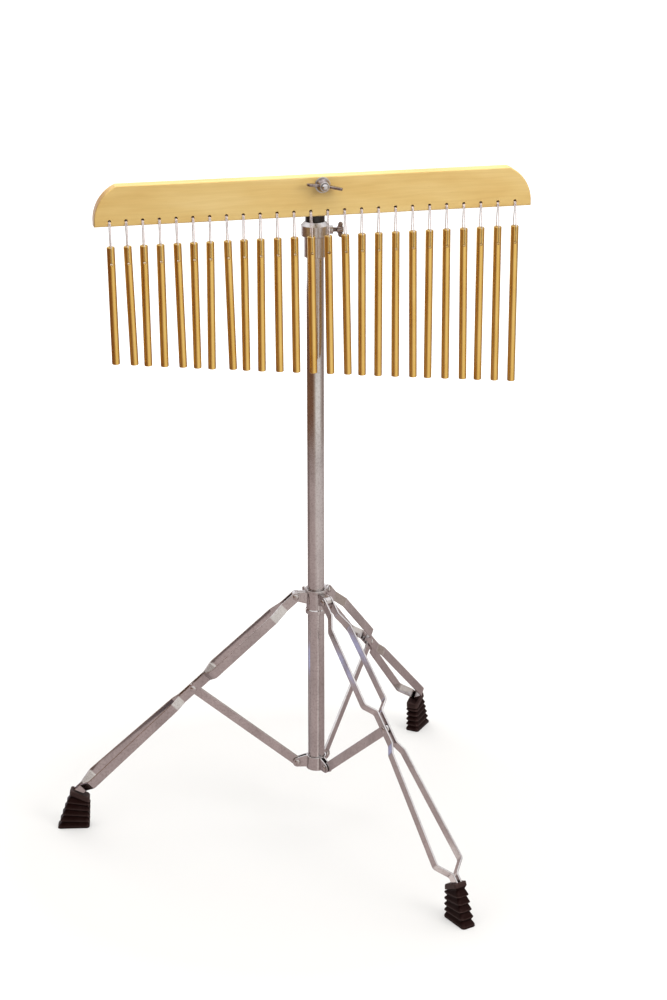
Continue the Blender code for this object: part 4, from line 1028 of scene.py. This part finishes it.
studio = {
    "floorSize": 60, "floorTone": (0.46, 0.455, 0.45), "floorRough": 0.9, "floorLift": 0.35, "whiteFrom": 0.36,
    "whiteAt": 1.4, "roomLight": 0.28, "roomTone": (1, 0.99, 0.975), "lampTone": (1, 0.985, 0.96),
    "key": {"place": (1.9, -2.3, 2.1), "size": 1.6, "power": 50},
    "fill": {"place": (-2.6, -1.9, 1.7), "size": 1.8, "power": 9},
    "top": {"place": (0.2, 0.2, 3.0), "size": 4.6, "power": 150},
    "rim": {"place": (-0.8, 2.6, 2.0), "size": 1.4, "power": 12},
    "target": (0.03, 0.02, 0.5),
}
cards = {  # round the stand, over and under it; only reflections see them, and they are darker to the camera's left
    "radius": 1.6, "low": 0.01, "height": 1.25, "steps": 180, "facing": -102.4, "middle": 0.002, "floor": 0.004,
    "inner": 0.55, "outer": 1.15,
    "ring": [(0.0, (0.32, 0.22, 0.17)), (0.16, (0.22, 0.105, 0.055)), (0.40, (0.22, 0.105, 0.055)),
             (0.46, (0.42, 0.30, 0.22)), (0.53, (0.97, 0.94, 0.88)), (0.66, (1.02, 0.99, 0.94)),
             (0.74, (0.55, 0.47, 0.42)), (0.86, (0.30, 0.22, 0.19)), (1.0, (0.32, 0.22, 0.17))],
    "far": [(0.0, (0.40, 0.31, 0.29)), (0.2, (0.28, 0.21, 0.20)), (0.26, (0.54, 0.435, 0.41)),
            (0.45, (0.60, 0.49, 0.465)), (0.53, (0.85, 0.775, 0.735)), (0.75, (0.83, 0.755, 0.73)),
            (0.9, (0.55, 0.46, 0.44)), (1.0, (0.40, 0.31, 0.29))],
    "near": [(0.0, (0.36, 0.28, 0.27)), (0.12, (0.25, 0.20, 0.215)), (0.17, (0.54, 0.445, 0.43)),
             (0.5, (0.595, 0.485, 0.465)), (0.565, (0.60, 0.49, 0.47)), (0.58, (1.0, 0.90, 0.86)),
             (0.60, (0.98, 0.88, 0.84)), (0.615, (0.50, 0.40, 0.38)), (0.75, (0.52, 0.42, 0.40)),
             (0.92, (0.43, 0.34, 0.33)), (1.0, (0.36, 0.28, 0.27))],
    "window": {"heading": 143, "spread": 22, "away": 0.5, "low": 0.006, "high": 0.047, "tone": (0.66, 0.69, 1.0)},
    "back": {"heading": 100, "spread": 32, "away": 1.5, "low": 0.37, "high": 0.95, "tone": (1.35, 1.35, 1.4)},
    "sky": {"radius": 2.6, "height": 2.7, "tone": (1.36, 1.36, 1.38)},
}


def rayKind(tree, *names):  # 1 for the named kinds of ray
    path = put(tree, "LightPath")
    found = path.outputs[f"Is {names[0]} Ray"]
    for name in names[1:]:
        found = put(tree, "Math", {0: found, 1: path.outputs[f"Is {name} Ray"]}, operation="MAXIMUM").outputs[0]
    return found


def awayFromAxis(tree):
    return put(tree, "VectorMath", {0: ownPlace(tree)}, operation="LENGTH").outputs["Value"]


def makeFloor():
    s = studio
    shape = bmesh.new()
    bmesh.ops.create_grid(shape, x_segments=1, y_segments=1, size=s["floorSize"] / 2)
    floor = newObject("studioFloor", meshOf(shape))
    look, tree, shader = newLook("paleFloor")
    shader.inputs["Base Color"].default_value = (*s["floorTone"], 1)
    shader.inputs["Roughness"].default_value = s["floorRough"]
    shader.inputs["Specular IOR Level"].default_value = 0
    shader.inputs["Emission Color"].default_value = (*white, 1)
    lift = mapped(tree, awayFromAxis(tree), s["whiteFrom"], s["whiteAt"], s["floorLift"])  # white away from the stand
    seen = rayKind(tree, "Camera", "Transmission")
    lift = put(tree, "Math", {0: seen, 1: lift}, operation="MULTIPLY").outputs[0]
    tree.links.new(lift, shader.inputs["Emission Strength"])
    floor.data.materials.append(look)


def addCard(name, rows, colour):  # a sheet between two rows of points
    shape = bmesh.new()
    low, high = [[shape.verts.new(standAxis @ Vector(spot)) for spot in row] for row in rows]
    for i in range(len(low) - 1):
        shape.faces.new((low[i], low[i + 1], high[i + 1], high[i]))
    card = newObject(name, meshOf(shape))
    look, tree, shader = newLook(name)
    tree.nodes.remove(shader)
    glow = put(tree, "Emission", {"Color": colour(tree)})
    tree.links.new(glow.outputs[0], tree.nodes["Material Output"].inputs["Surface"])
    card.data.materials.append(look)
    card.visible_camera = False
    card.visible_diffuse = False
    card.visible_shadow = False
    card.visible_transmission = False
    card.visible_volume_scatter = False


def makeCards():
    c = cards

    def around(radius, height, start=0, end=360):
        return [(x, y, height) for x, y in arc((0, 0), radius, start, end, c["steps"])]

    def heading(tree, tones):  # tones by the way round from the camera
        wires = {"Vector": ownPlace(tree), "Rotation": (0, 0, math.radians(-c["facing"]))}
        turned = put(tree, "Mapping", wires).outputs["Vector"]
        return ramp(tree, put(tree, "TexGradient", {"Vector": turned}, gradient_type="RADIAL").outputs["Fac"], tones)

    def ringTone(tree):
        return heading(tree, c["ring"])

    def floorTone(tree):
        share = mapped(tree, awayFromAxis(tree), c["inner"], c["outer"])
        return blendOf(tree, share, heading(tree, c["near"]), heading(tree, c["far"]))

    sky = c["sky"]
    addCard("ringCard", [around(c["radius"], c["low"]), around(c["radius"], c["height"])], ringTone)
    addCard("floorCard", [around(c["middle"], c["floor"]), around(c["radius"], c["floor"])], floorTone)
    skyRows = [around(c["middle"], sky["height"]), around(sky["radius"], sky["height"])]
    addCard("skyCard", skyRows, lambda tree: (*sky["tone"], 1))
    for name in ("window", "back"):
        w = c[name]
        sides = (w["heading"] - w["spread"], w["heading"] + w["spread"])
        rows = [around(w["away"], w[level], *sides) for level in ("low", "high")]
        addCard(name + "Card", rows, lambda tree: (*w["tone"], 1))


def makeWorld():
    world = bpy.data.worlds.new("studioRoom")
    bpy.context.scene.world = world
    world.use_nodes = True
    tree = world.node_tree
    room = tree.nodes["Background"]
    room.inputs["Color"].default_value = (*studio["roomTone"], 1)
    room.inputs["Strength"].default_value = studio["roomLight"]
    backdrop = put(tree, "Background", {"Color": (*white, 1), "Strength": 1.0})
    seen = rayKind(tree, "Camera", "Glossy", "Transmission")
    mix = put(tree, "MixShader", {0: seen, 1: room.outputs[0], 2: backdrop.outputs[0]})
    tree.links.new(mix.outputs[0], tree.nodes["World Output"].inputs["Surface"])


def makeLamps():
    for name in ("key", "fill", "top", "rim"):
        lamp = studio[name]
        light = bpy.data.lights.new(name + "Lamp", "AREA")
        light.shape = "SQUARE"
        light.size = lamp["size"]
        light.energy = lamp["power"]
        light.color = studio["lampTone"]
        obj = newObject(name + "Lamp", light)
        obj.location = lamp["place"]
        ahead = Vector(studio["target"]) - Vector(lamp["place"])
        obj.rotation_euler = ahead.to_track_quat("-Z", "Y").to_euler()
        obj.visible_glossy = False  # metal shows the cards and the white room in place of the lamps


view = {
    "distance": 2.9172, "height": 1.5255, "side": 12.4, "heading": 77.14, "pitch": -19.9, "lens": 84.744,
    "sensor": 36, "sees": 100,
}


def makeCamera():
    side, heading, pitch = [math.radians(view[key]) for key in ("side", "heading", "pitch")]
    spot = Vector((-view["distance"] * math.sin(side), -view["distance"] * math.cos(side), view["height"]))
    ahead = Vector((math.cos(heading) * math.cos(pitch), math.sin(heading) * math.cos(pitch), math.sin(pitch)))
    camera = bpy.data.cameras.new("camera")
    camera.lens = view["lens"]
    camera.sensor_width = view["sensor"]
    camera.sensor_fit = "AUTO"
    camera.clip_end = view["sees"]
    obj = newObject("camera", camera)
    obj.location = standAxis @ spot
    obj.rotation_euler = ahead.to_track_quat("-Z", "Y").to_euler()
    bpy.context.scene.camera = obj


makeFloor()
makeCards()
makeWorld()
makeLamps()
makeCamera()
bpy.context.scene.view_settings.view_transform = "Standard"
print("studio: floor, 5 cards, room, 4 lamps, camera")
